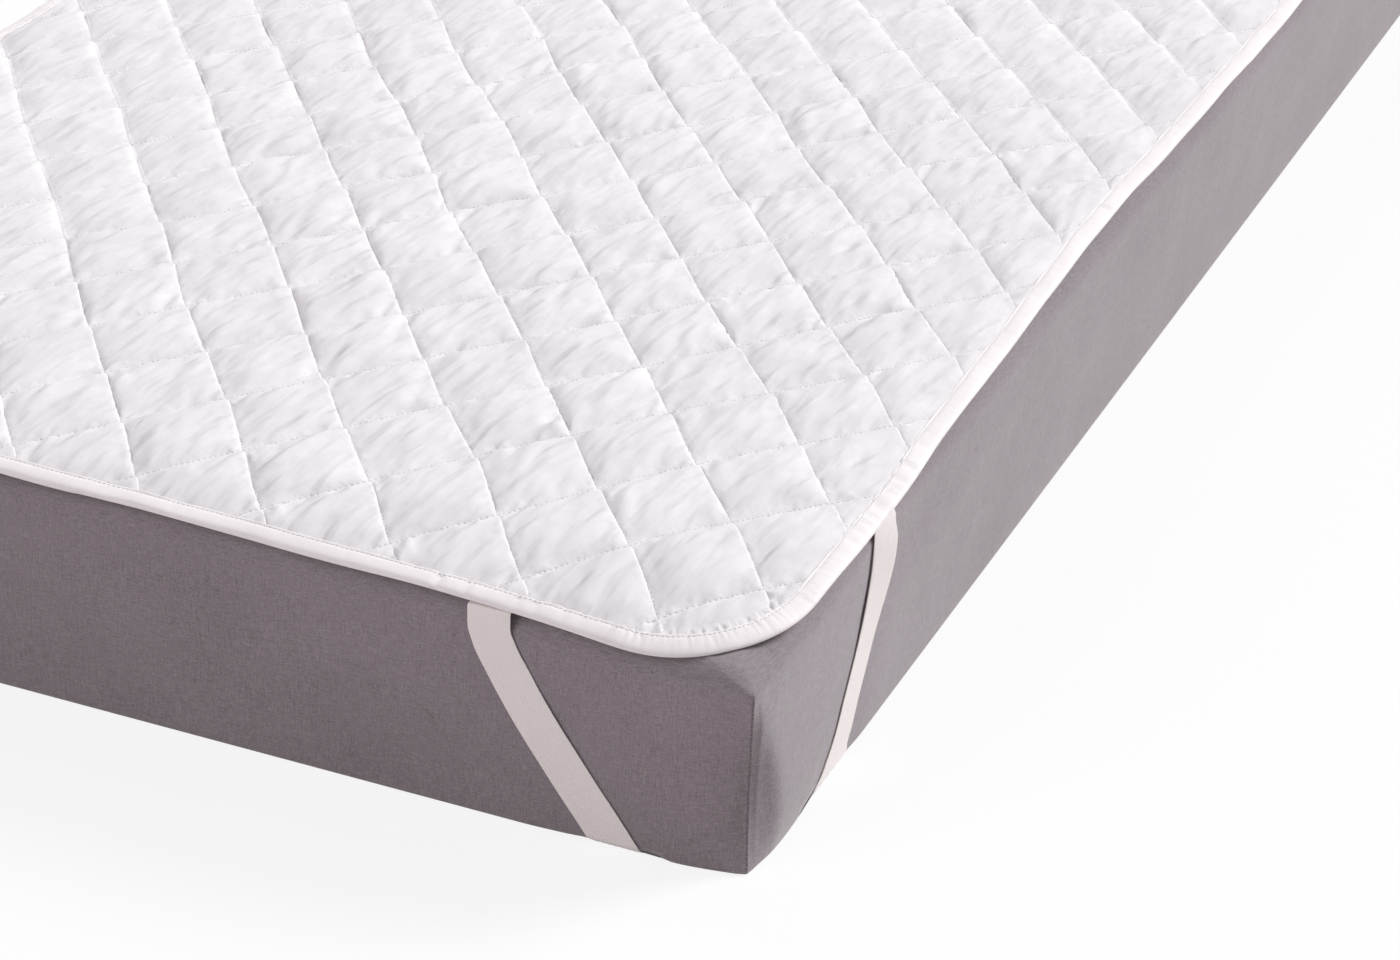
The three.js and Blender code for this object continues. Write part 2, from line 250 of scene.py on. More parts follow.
# how far the rim and the cloth beside it stand off their plain outline: across, along and up
def rimMove(x, y):
    inset = padInset(x, y)
    nx, ny = padNormal(x, y)
    deeper = inset - rim["probe"]
    swell = dome(*quiltPlace(x + nx * deeper, y + ny * deeper))
    out = rim["swellOut"] * (swell - 0.5)
    for corner, run, distance, wide, much in rimBulges:
        signX, signY = cornerSigns[corner]
        along = bed["halfLength"] - y * signY if run == "side" else bed["halfWidth"] - x * signX
        facing = np.clip(nx * signX if run == "side" else ny * signY, 0, 1)
        here = facing * (x * signX > 0) * (y * signY > 0)
        out = out + much * bell(along - distance, wide) * here
    share = 1 - smoothStep(inset, 0, rim["reach"])
    return nx * out * share, ny * out * share, rim["swellUp"] * swell * share


# stations round a rectangle with rounded corners: corner number, share of its arc, and share of the
# straight stretch after it
def stationsRound(halfWidth, halfLength, radius, spacing, cornerSteps):
    rows = []
    for corner in range(4):
        rows += [(corner, step / cornerSteps, 0) for step in range(cornerSteps)]
        straight = 2 * ((halfLength if corner % 2 == 0 else halfWidth) - radius)
        count = round(straight / spacing)
        rows += [(corner, 1, step / count) for step in range(count)]
    return np.array(rows, float)


def padStations(spacing, cornerSteps):
    return stationsRound(padHalfWidth, padHalfLength, pad["corner"], spacing, cornerSteps)


def ringPlan(stations, halfWidth, halfLength, radius):
    def onArc(corner, share):
        angle = np.radians(90 * (corner + share - 1))
        signs = cornerSigns[corner % 4]
        x = signs[:, 0] * (halfWidth - radius) + radius * np.cos(angle)
        y = signs[:, 1] * (halfLength - radius) + radius * np.sin(angle)
        return x, y, np.cos(angle), np.sin(angle)

    corner = stations[:, 0].astype(int)
    x, y, nx, ny = onArc(corner, stations[:, 1])
    nextX, nextY, _, _ = onArc(corner + 1, np.zeros(len(corner)))
    share = stations[:, 2]
    return x + (nextX - x) * share, y + (nextY - y) * share, nx, ny


def padRing(stations, inset):
    radius = max(pad["corner"] - inset, pad["sharpest"])
    return ringPlan(stations, padHalfWidth - inset, padHalfLength - inset, radius)


# the stations of places given by their coordinates
def stationOf(x, y):
    overX, overY = padOver(x, y)
    rows = np.zeros((len(x), 3))
    halfX, halfY = padHalfWidth - pad["corner"], padHalfLength - pad["corner"]
    for i in range(len(x)):
        signs = (1 if x[i] >= 0 else -1, 1 if y[i] >= 0 else -1)
        if overX[i] > 0 and overY[i] > 0:
            corner = [tuple(row) for row in cornerSigns].index(signs)
            angle = math.degrees(math.atan2(overY[i] * signs[1], overX[i] * signs[0])) % 360
            rows[i] = (corner, ((angle + 90) % 360 - 90 * corner) / 90, 0)
        elif overX[i] >= overY[i]:
            rows[i] = (1 - signs[0], 1, (halfY + signs[0] * y[i]) / (2 * halfY))
        else:
            rows[i] = (2 - signs[1], 1, (halfX - signs[1] * x[i]) / (2 * halfX))
    return rows


def meshPiece(name, points, faces, material, uv=None, sharpAngle=None):
    mesh = bpy.data.meshes.new(name)
    mesh.from_pydata((np.asarray(points, float) * mm).tolist(), [], faces)
    mesh.update()
    mesh.polygons.foreach_set("use_smooth", np.ones(len(mesh.polygons), bool))
    if uv is not None:
        layer = mesh.uv_layers.new(name=uv[0])
        corners = np.zeros(len(mesh.loops), np.int32)
        mesh.loops.foreach_get("vertex_index", corners)
        layer.data.foreach_set("uv", np.asarray(uv[1], float)[corners].astype(np.float32).ravel())
    if sharpAngle is not None:
        mesh.set_sharp_from_angle(angle=math.radians(sharpAngle))
    mesh.materials.append(material)
    piece = linked(name, mesh)
    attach(piece, "root")
    return piece


# skin over a grid of rings; each ring is a row of points
def ringFaces(ringCount, around, closeAcross=False):
    faces = []
    for ring in range(ringCount if closeAcross else ringCount - 1):
        low, high = ring * around, (ring + 1) % ringCount * around
        for i in range(around):
            j = (i + 1) % around
            faces.append((low + i, low + j, high + j, high + i))
    return faces


# the same with both ends closed
def closedFaces(ringCount, around):
    last = (ringCount - 1) * around
    return ringFaces(ringCount, around) + [tuple(reversed(range(around))), tuple(range(last, last + around))]


def turnedOver(faces):
    return [tuple(reversed(face)) for face in faces]


# materials

# gives a socket a value or another node's output
def put(tree, socket, value):
    if isinstance(value, bpy.types.NodeSocket):
        tree.links.new(value, socket)
    else:
        socket.default_value = value


# inputs are named, or numbered as i0, i1 and so on
def node(tree, kind, settings=None, **inputs):
    made = tree.nodes.new(kind)
    for key, value in (settings or {}).items():
        setattr(made, key, value)
    for key, value in inputs.items():
        numbered = key[0] == "i" and key[1:].isdigit()
        put(tree, made.inputs[int(key[1:]) if numbered else key], value)
    return made


def maths(tree, operation, first, second=0.0, third=0.0):
    return node(tree, "ShaderNodeMath", {"operation": operation}, i0=first, i1=second, i2=third).outputs[0]


# sum of values, each times its share
def mixed(tree, *parts):
    total = None
    for value, share in parts:
        part = maths(tree, "MULTIPLY", value, share)
        total = part if total is None else maths(tree, "ADD", total, part)
    return total


def scaled(tree, vector, amounts):
    return node(tree, "ShaderNodeVectorMath", {"operation": "MULTIPLY"}, i0=vector, i1=amounts).outputs[0]


def noise(tree, vector, scale, detail=2.0, roughness=0.5, **more):
    values = dict(Vector=vector, Scale=scale, Detail=detail, Roughness=roughness, **more)
    return node(tree, "ShaderNodeTexNoise", **values).outputs["Fac"]


def ramp(tree, value, low, high, lowTo=0.0, highTo=1.0, smooth=False):
    kind = {"interpolation_type": "SMOOTHSTEP" if smooth else "LINEAR"}
    made = node(tree, "ShaderNodeMapRange", kind, Value=value, i1=low, i2=high, i3=lowTo, i4=highTo)
    return made.outputs[0]


def blendColours(tree, share, first, second):
    made = node(tree, "ShaderNodeMix", {"data_type": "RGBA"}, i0=share, i6=first, i7=second)
    return made.outputs[2]


# place on a cloth from its own map, and the two parts of it
def clothPlan(tree, name):
    plan = node(tree, "ShaderNodeUVMap", {"uv_map": name}).outputs[0]
    parts = node(tree, "ShaderNodeSeparateXYZ", i0=plan).outputs
    return plan, parts[0], parts[1]


def sineWave(tree, value, length):
    return maths(tree, "SINE", maths(tree, "MULTIPLY", value, 2 * math.pi / length))


def linear(colour):
    parts = [value / 255 for value in colour]
    return tuple(c / 12.92 if c <= 0.04045 else ((c + 0.055) / 1.055) ** 2.4 for c in parts) + (1.0,)


def newMaterial(name):
    material = bpy.data.materials.new(name)
    material.use_nodes = True
    return material, material.node_tree


def objectPlace(tree):
    return node(tree, "ShaderNodeTexCoord").outputs["Object"]


# each bump is strength, distance and height, laid over the one before; a negative distance presses in
def finishCloth(material, colour, bumps, roughness, sheen, specular, sheenRoughness=0.5):
    tree = material.node_tree
    shader = tree.nodes["Principled BSDF"]
    below = {}
    for strength, distance, height in bumps:
        values = dict(Strength=strength, Distance=abs(distance), Height=height, **below)
        below = {"Normal": node(tree, "ShaderNodeBump", {"invert": distance < 0}, **values).outputs[0]}
    surface = {
        "Base Color": colour,
        "Roughness": roughness,
        "Sheen Weight": sheen,
        "Sheen Roughness": sheenRoughness,
        "Specular IOR Level": specular,
        **below,
    }
    for name, value in surface.items():
        put(tree, shader.inputs[name], value)
    return material


def clothColour(tree, share, low, high, dark, light):   # dark and light are names in clothLooks
    share = ramp(tree, share, low, high)
    return blendColours(tree, share, linear(clothLooks[dark]), linear(clothLooks[light]))


clothLooks = {
    "coverLight": (160, 152, 157),
    "coverDark": (118, 111, 116),
    "quiltLight": (241, 239, 242),
    "quiltShade": (228, 225, 229),
    # painted shade for the needle holes along the channels
    "quiltHoleShade": (200, 195, 200),
    "quiltRough": 0.78,
    "dragHeading": -10,
    "dragSize": (0.012, 0.043, 0.05),
    "dragHeight": 0.0056,
    "tape": (247, 243, 244),
    "tapeShade": (242, 236, 238),
    "tapeRough": 0.55,
    "elastic": (249, 245, 242),
    # painted shade for the grooves between the ribs
    "elasticGrooveShade": (239, 233, 231),
    "ribPitch": 1.4,
    "pickPitch": 1.1,
    "thread": (245, 242, 244),
    "threadShade": (230, 226, 230),
    "coverThread": (104, 96, 101),
}
quiltStitch = {
    "count": 19,           # along one side of a diamond
    "lines": (-27, 24),
    "fromEdge": 13,
}


def makeCoverCloth():
    material, tree = newMaterial("coverCloth")
    place = objectPlace(tree)

    def yarns(vector):
        return noise(tree, vector, 1250, 2.0, 0.6)

    upright = yarns(scaled(tree, place, (1, 1, 0.12)))    # yarns running up the side
    level = yarns(scaled(tree, place, (0.12, 0.12, 1)))   # and along it
    fleck = mixed(tree, (mixed(tree, (upright, 0.5), (level, 0.5)), 0.6), (yarns(place), 0.4))
    share = mixed(tree, (fleck, 0.86), (noise(tree, place, 8, 3.0), 0.14))
    colour = clothColour(tree, share, 0.38, 0.62, "coverDark", "coverLight")
    bumps = [(0.35, 0.0006, fleck), (0.3, 0.003, noise(tree, place, 30, 3.0, 0.55))]
    roughness = ramp(tree, fleck, 0.35, 0.65, 0.86, 0.98)
    return finishCloth(material, colour, bumps, roughness, sheen=0.5, specular=0.15)


# tucks that run in from the binding round the corners, as a height between nothing and one
def cornerGathers(tree, place):
    parts = node(tree, "ShaderNodeSeparateXYZ", i0=place).outputs
    beyond = []
    for part, half in ((parts[0], padHalfWidth), (parts[1], padHalfLength)):
        beyond.append(maths(tree, "SUBTRACT", maths(tree, "ABSOLUTE", part), (half - pad["corner"]) * mm))
    angle = maths(tree, "ARCTAN2", beyond[1], beyond[0])
    reach = maths(tree, "SQRT", maths(tree, "ADD", *[maths(tree, "POWER", away, 2.0) for away in beyond]))
    onCorner = maths(tree, "MULTIPLY", *[ramp(tree, away, 0.0, 0.045, smooth=True) for away in beyond])
    inset = maths(tree, "SUBTRACT", pad["corner"] * mm, reach)
    nearTape = maths(tree, "MULTIPLY", ramp(tree, inset, 0.0125, 0.0175, 1.0, 0.0, True), onCorner)
    around, inwards = maths(tree, "MULTIPLY", angle, 16.0), maths(tree, "MULTIPLY", reach, 40.0)
    wave = noise(tree, node(tree, "ShaderNodeCombineXYZ", i0=around, i1=inwards).outputs[0], 1.0, 1.0, 0.4)
    return maths(tree, "MULTIPLY", ramp(tree, wave, 0.35, 0.6), nearTape)


def makeQuiltCloth():
    material, tree = newMaterial("quiltCloth")
    place = objectPlace(tree)
    _, p, q = clothPlan(tree, "quiltPlan")

    def fromChannel(value):   # millimetres from the nearest channel of one direction
        return maths(tree, "MULTIPLY", maths(tree, "PINGPONG", value, 0.5), diamondSide)

    def holes(across, along):
        nearLine = ramp(tree, fromChannel(across), 0.25, 0.75, 1.0, 0.0, True)
        inStep = maths(tree, "PINGPONG", maths(tree, "MULTIPLY", along, quiltStitch["count"]), 0.5)
        return maths(tree, "MULTIPLY", nearLine, ramp(tree, inStep, 0.06, 0.2, 1.0, 0.0, True))

    # needle holes between the stitches: pressed in by a bump and darkened with painted shade
    shadedPressedHoles = maths(tree, "MAXIMUM", holes(p, q), holes(q, p))
    grain = noise(tree, place, 1300, 2.0, 0.7)
    share = mixed(tree, (noise(tree, place, 20, 3.0, 0.6), 0.6), (grain, 0.4))
    colour = clothColour(tree, share, 0.35, 0.65, "quiltShade", "quiltLight")
    colour = blendColours(tree, shadedPressedHoles, colour, linear(clothLooks["quiltHoleShade"]))

    # drag lines run along the bed, and small puckers stand beside the stitching
    heading = (0, 0, math.radians(clothLooks["dragHeading"]))
    turned = dict(Vector=place, Rotation=heading, Scale=clothLooks["dragSize"])
    drag = node(tree, "ShaderNodeMapping", {"vector_type": "TEXTURE"}, **turned).outputs[0]
    pulled = noise(tree, drag, 1.0, 1.6, 0.45, Distortion=0.12)
    nearest = maths(tree, "MINIMUM", fromChannel(p), fromChannel(q))
    besideStitches = ramp(tree, nearest, 0.5, 8.0, 1.0, 0.05, True)
    pucker = maths(tree, "MULTIPLY", noise(tree, place, 170, 1.0, 0.4), besideStitches)
    bumps = [
        (1.0, clothLooks["dragHeight"], pulled),
        (0.5, 0.0016, pucker),
        (0.8, 0.0014, cornerGathers(tree, place)),
        (0.15, 0.0004, grain),
        (0.35, -0.0005, shadedPressedHoles),
    ]
    rough = clothLooks["quiltRough"]
    roughness = ramp(tree, grain, 0.3, 0.7, rough - 0.06, rough + 0.08)
    return finishCloth(material, colour, bumps, roughness, sheen=0.05, specular=0.25, sheenRoughness=0.4)


def makeTapeCloth():
    material, tree = newMaterial("bindingTape")
    plan, along, over = clothPlan(tree, "tapePlan")   # along and round the fold, in millimetres
    fine = noise(tree, scaled(tree, plan, (1, 0.25, 1)), 0.9, 2.0, 0.6)
    share = mixed(tree, (fine, 0.4), (noise(tree, objectPlace(tree), 30, 3.0, 0.6), 0.6))
    colour = clothColour(tree, share, 0.3, 0.7, "tapeShade", "tape")
    twill = sineWave(tree, maths(tree, "ADD", along, over), 0.8)
    crimp = noise(tree, scaled(tree, plan, (0.16, 0.03, 1)), 1.0, 3.0, 0.5)
    rough = clothLooks["tapeRough"]
    roughness = ramp(tree, fine, 0.3, 0.7, rough - 0.05, rough + 0.08)
    bumps = [(0.4, 0.0012, crimp), (0.1, 0.0002, twill)]
    return finishCloth(material, colour, bumps, roughness, sheen=0.1, specular=0.35)


def makeElasticCloth():
    material, tree = newMaterial("ribbedElastic")
    plan, across, along = clothPlan(tree, "elasticPlan")   # in millimetres
    # the grooves between the ribs are sunk by a bump and darkened with painted shade; the flecks add random
    # tone
    rib = maths(tree, "ABSOLUTE", sineWave(tree, across, 2 * clothLooks["ribPitch"]))
    picks = sineWave(tree, along, clothLooks["pickPitch"])
    fleck = noise(tree, scaled(tree, plan, (1, 0.5, 1)), 1.3, 2.0, 0.6)
    share = mixed(tree, (rib, 0.4), (fleck, 0.6))
    colour = clothColour(tree, share, 0.25, 0.75, "elasticGrooveShade", "elastic")
    bumps = [(0.4, 0.0004, rib), (0.15, 0.0002, picks)]
    roughness = ramp(tree, fleck, 0.3, 0.7, 0.74, 0.88)
    return finishCloth(material, colour, bumps, roughness, sheen=0.12, specular=0.3)


def makeThread(name, dark, light):
    material, tree = newMaterial(name)
    twist = noise(tree, objectPlace(tree), 2400, 1.0)
    colour = clothColour(tree, twist, 0.35, 0.65, dark, light)
    return finishCloth(material, colour, [], 0.6, sheen=0.0, specular=0.3)


coverCloth = makeCoverCloth()
quiltCloth = makeQuiltCloth()
tapeCloth = makeTapeCloth()
elasticCloth = makeElasticCloth()
sewingThread = makeThread("sewingThread", "threadShade", "thread")
coverThread = makeThread("coverThread", "coverThread", "coverDark")
print("materials made")

# quilted top and its thin rim
quiltMesh = {
    # lines across half a diamond
    "shares": [0, 0.010, 0.022, 0.038, 0.060, 0.090, 0.130, 0.180, 0.235, 0.295, 0.360, 0.430],
    "diamonds": ((-8, 23), (-27, 4)),   # from and up to, each way
    "coarse": 3,           # away from the camera only every third line is used
    "fineFrom": -170,      # fine from here across the bed
    "fineUpTo": -170,      # and up to here along it
    "edgeInset": 3.0,      # the grid ends here, hidden by the binding
    "rimRings": [(1.4, 1.5), (0.6, 1.25), (0.3, 0.7), (0.7, 0.15), (3.0, 0.0)],   # inset, height
    "underRings": [30, 55, 90, 130, 181],
    "underFirst": 16,
    "underEvery": 4,       # the underside has a quarter as many points round
}
# each puff rises in a long slope and ends in a full edge that rolls over the stitching
puffShape = {
    "height": 4.9,
    "slope": 0.12,         # share of the diamond over which it rises
    "drop": 0.12,          # share over which it falls again
    "brink": 0.016,        # and the short steep end of the fall
    "brinkPart": 0.22,
    "ends": 0.085,
    "endsAtEdge": 0.03,
    "endsUpTo": (0.72, 0.97),
    "rollOver": 1.5,       # how far the full edge leans out
    "rollReach": 0.04,
    "rollFirst": 1.9,      # it leans out more where it begins than where it ends
    "rollLast": -0.3,
    "rollEnds": (0.025, 0.03),
    "crumple": (0.9, 0.9, 1.25),   # share of the simulated differences that is added
    "crumpleFrom": (0.03, 0.17),   # and how far from a crossing it begins
}
wrinkles = {
    "height": 0.78,
    "longest": 30,
    "shortest": 12,
    "heading": -10,
    "spread": 14,
    "patchy": 0.55,        # stronger in some places than in others
    "patchLimits": (0.1, 1.5),
    "tucks": 0.95,
    "tuckFrom": (11.6, 14.5),
    "tuckReach": 9,
    "besideCorner": 110,
}
sewnEdge = {   # distances in from the rim
    "rimUpTo": (12, 20),
    "pressedUpTo": (2, 13),
    "straightUpTo": (14, 70),
}
halfLines = quiltMesh["shares"]
cellLines = np.array(halfLines + [0.5] + [1 - s for s in reversed(halfLines[1:])])
perCell = len(cellLines)
cellU, cellV = np.meshgrid(np.append(cellLines, 1.0), np.append(cellLines, 1.0), indexing="ij")
driftX = rippleSet(14, 10, 260, 110)
driftY = rippleSet(15, 10, 260, 110)
wrinkleWaves = rippleSet(41, 26, *(wrinkles[key] for key in ("longest", "shortest", "heading", "spread")))
wrinklePlaces = rippleSet(42, 12, 170, 60)
tuckWaves = lineSet(43, 12, 17, 8)
pickChance = np.random.default_rng(16)

# a patch of the top cloth, cut longer than the sewn lines that hold it and blown up by the wadding
sewnPatch = {
    "across": 5,           # diamonds each way
    "frames": 30,
    "drawnIn": 15,         # frames over which the sewn lines are drawn to their places
    "slackAcross": 0.025,
    "slackAlong": 0.007,
    "unevenSlack": 0.22,
    "start": 0.25,
    "unit": 0.01,          # simulated at ten times its size
}
patchCloth = {
    "quality": 6,
    "mass": 0.3,
    "air_damping": 1.0,
    "tension_stiffness": 15,
    "compression_stiffness": 8,
    "shear_stiffness": 2,
    "bending_stiffness": 0.9,
    "use_pressure": True,
    "uniform_pressure_force": 1.7,
}


def gridFaces(number):   # squares of a grid of point numbers
    corners = [number[:-1, :-1], number[:-1, 1:], number[1:, 1:], number[1:, :-1]]
    return np.stack(corners, -1).reshape(-1, 4).tolist()


def simulateRelief(count):
    unit = sewnPatch["unit"]
    lines = np.append((np.arange(count)[:, None] + cellLines[None, :]).ravel(), count)
    x, y = quiltPoint(*np.meshgrid(lines, lines, indexing="ij"))
    x, y = x - x.mean(), y - y.mean()
    flat = np.stack([x, y, 0 * x], -1)
    rows = len(lines)
    onLine = np.arange(rows) % perCell == 0
    sewn = onLine[:, None] | onLine[None, :]
    z = np.where(sewn, 0, sewnPatch["start"] * np.random.default_rng(3).uniform(0, 1, x.shape))
    uneven = [sewnPatch["unevenSlack"] * ripple(rippleSet(seed, 10, 160, 60), x, y) for seed in (5, 6)]
    cutX = x * (1 + sewnPatch["slackAcross"]) + uneven[0]
    cutY = y * (1 + sewnPatch["slackAlong"]) + uneven[1]
    mesh = bpy.data.meshes.new("patch")
    faces = gridFaces(np.arange(rows * rows).reshape(rows, rows))
    mesh.from_pydata((np.stack([cutX, cutY, z], -1).reshape(-1, 3) * unit).tolist(), [], faces)
    patch = linked("patch", mesh)
    patch.shape_key_add(name="cut")
    drawn = patch.shape_key_add(name="drawnIn")
    drawn.data.foreach_set("co", (flat * unit).astype(np.float32).ravel())
    for value, at in ((0, 1), (1, sewnPatch["drawnIn"])):
        drawn.value = value
        drawn.keyframe_insert("value", frame=at)
    held = patch.vertex_groups.new(name="sewn")
    held.add(np.nonzero(sewn.ravel())[0].tolist(), 1.0, "REPLACE")
    cloth = patch.modifiers.new("cloth", "CLOTH")
    cloth.point_cache.frame_start = 1
    cloth.point_cache.frame_end = sewnPatch["frames"] + 1
    cloth.collision_settings.use_collision = False
    for key, value in patchCloth.items():
        setattr(cloth.settings, key, value)
    cloth.settings.vertex_group_mass = "sewn"
    cloth.settings.effector_weights.gravity = 0
    for step in range(1, sewnPatch["frames"] + 1):
        bpy.context.scene.frame_set(step)
    settled = patch.evaluated_get(bpy.context.evaluated_depsgraph_get())
    places = np.zeros(3 * rows * rows, np.float32)
    settled.to_mesh().vertices.foreach_get("co", places)
    settled.to_mesh_clear()
    moved = places.reshape(rows, rows, 3) / unit - flat
    moved[sewn] = 0
    action = drawn.id_data.animation_data.action
    bpy.data.objects.remove(patch)
    bpy.data.meshes.remove(mesh)
    bpy.data.actions.remove(action)
    bpy.context.scene.frame_set(1)
    relief = np.zeros((count, count, perCell + 1, perCell + 1, 3))
    for i, j in np.ndindex(count, count):
        relief[i, j] = moved[i * perCell:(i + 1) * perCell + 1, j * perCell:(j + 1) * perCell + 1]
    return relief


def rising(value, reach):
    return 1 - np.exp(-value / reach)


# how full a puff is, from nothing on its sewn lines to one
def fullness(u, v):
    brink = puffShape["brinkPart"]
    fall = 1 - (1 - brink) * np.exp(-(1 - u) / puffShape["drop"])
    fall = fall - brink * np.exp(-(1 - u) / puffShape["brink"])
    across = rising(u, puffShape["slope"]) * fall
    change = puffShape["endsAtEdge"] - puffShape["ends"]
    ends = puffShape["ends"] + change * smoothStep(u, *puffShape["endsUpTo"])
    return across * rising(v, ends) * rising(1 - v, ends)


# every puff has the same shape plus the differences between the simulated ones
def shapeRelief(relief):
    u, v = cellU, cellV
    toCrossing = np.hypot(np.minimum(u, 1 - u), np.minimum(v, 1 - v))
    own = smoothStep(toCrossing, *puffShape["crumpleFrom"])[..., None]
    shaped = (relief - relief.mean(axis=(0, 1))) * own * np.array(puffShape["crumple"])
    shaped[..., 2] += puffShape["height"] * fullness(u, v)
    apart = (1 - u) / puffShape["rollReach"]
    fade = puffShape["rollFirst"] + (puffShape["rollLast"] - puffShape["rollFirst"]) * v
    fade = fade * rising(v, puffShape["rollEnds"][0]) * rising(1 - v, puffShape["rollEnds"][1])
    roll = puffShape["rollOver"] * apart * np.exp(1 - apart) * fade
    shaped[..., 0] += roll * quilt["halfY"] / diamondSide
    shaped[..., 1] += roll * quilt["halfX"] / diamondSide
    return shaped


makeRelief = simulateRelief
relief = shapeRelief(makeRelief(sewnPatch["across"]))
print("quilted patch: puffs up to", round(float(relief[..., 2].max()), 1), "mm")


# height of the sewn lines
def sewnLevel(x, y):
    inset = padInset(x, y)
    thicker = (pad["rimThick"] - pad["channelThick"]) * (1 - smoothStep(inset, *sewnEdge["rimUpTo"]))
    base = pad["channelThick"] + thicker
    return padUnderside(x, y) + base - pad["edgeThinner"] * (1 - smoothStep(inset, *sewnEdge["pressedUpTo"]))


def drift(x, y):
    share = smoothStep(padInset(x, y), *sewnEdge["straightUpTo"])
    return x + ripple(driftX, x, y) * share, y + ripple(driftY, x, y) * share


# places on the sewn lines, drifted and moved with the rim
def sewnPoint(x, y):
    movedX, movedY = drift(x, y)
    outX, outY, up = rimMove(x, y)
    return np.stack([movedX + outX, movedY + outY, sewnLevel(movedX, movedY) + up], 1)


# short tucks that stand square to the binding, mostly round the corners
def rimTucks(x, y):
    overX, overY = padOver(x, y)
    onBend = pad["corner"] * np.arctan2(np.maximum(overY, 0), np.maximum(overX, 0.001))
    run = np.where((overX > 0) & (overY > 0), onBend, np.where(overX >= overY, y, x))
    first, full = wrinkles["tuckFrom"]
    inset = padInset(x, y)
    share = smoothStep(inset, first, full) * np.exp(-np.maximum(inset - full, 0) / wrinkles["tuckReach"])
    nearest = 0.25 + nearCorner(x, y, wrinkles["besideCorner"])
    return wrinkles["tucks"] * lineRipple(tuckWaves, run) * share * nearest


# cells of each diamond, wound to face up; a coarse cell next to a fine diamond takes its extra edge points
def quiltFaces(inside, fine):
    # for each side of a cell: the corner it starts at, the way along it and the way to its neighbour
    sides = [
        ((0, 0), (1, 0), (0, -1)),
        ((1, 0), (0, 1), (1, 0)),
        ((1, 1), (-1, 0), (0, 1)),
        ((0, 1), (0, -1), (-1, 0)),
    ]
    columns = inside.shape[1]
    fineAround = np.pad(fine, 1)

    def cellLoop(i, j, a, b, step):
        loop = []
        for corner, (goRow, goColumn), (besideI, besideJ) in sides:
            row, column = i * perCell + a + corner[0] * step, j * perCell + b + corner[1] * step
            inDiamond = 0 <= a + besideI * step < perCell and 0 <= b + besideJ * step < perCell
            extra = step if not inDiamond and fineAround[i + 1 + besideI, j + 1 + besideJ] else 1
            loop += [(row + goRow * k, column + goColumn * k) for k in range(extra)]
        return loop

    faces = []
    for i, j in np.ndindex(fine.shape):
        top, left = i * perCell, j * perCell
        beyond = top + perCell >= len(inside) or left + perCell >= columns
        if beyond or not inside[top:top + perCell + 1, left:left + perCell + 1].any():
            continue
        step = 1 if fine[i, j] else quiltMesh["coarse"]
        for a in range(0, perCell, step):
            for b in range(0, perCell, step):
                if inside[top + a:top + a + step + 1:step, left + b:left + b + step + 1:step].all():
                    loop = cellLoop(i, j, a, b, step)
                    faces.append([row * columns + column for row, column in reversed(loop)])
    return faces


# the ragged edge of the grid, in order
def edgeOf(faces):
    edges = set()
    for face in faces:
        for k in range(len(face)):
            edges.add((face[k - 1], face[k]))
    follow = {}
    for first, second in edges:
        if (second, first) not in edges:
            follow[first] = second
    loop = [next(iter(follow))]
    while follow[loop[-1]] != loop[0]:
        loop.append(follow[loop[-1]])
    if len(loop) != len(follow):
        print("the edge of the grid pinches:", len(loop), "of", len(follow))
    return loop


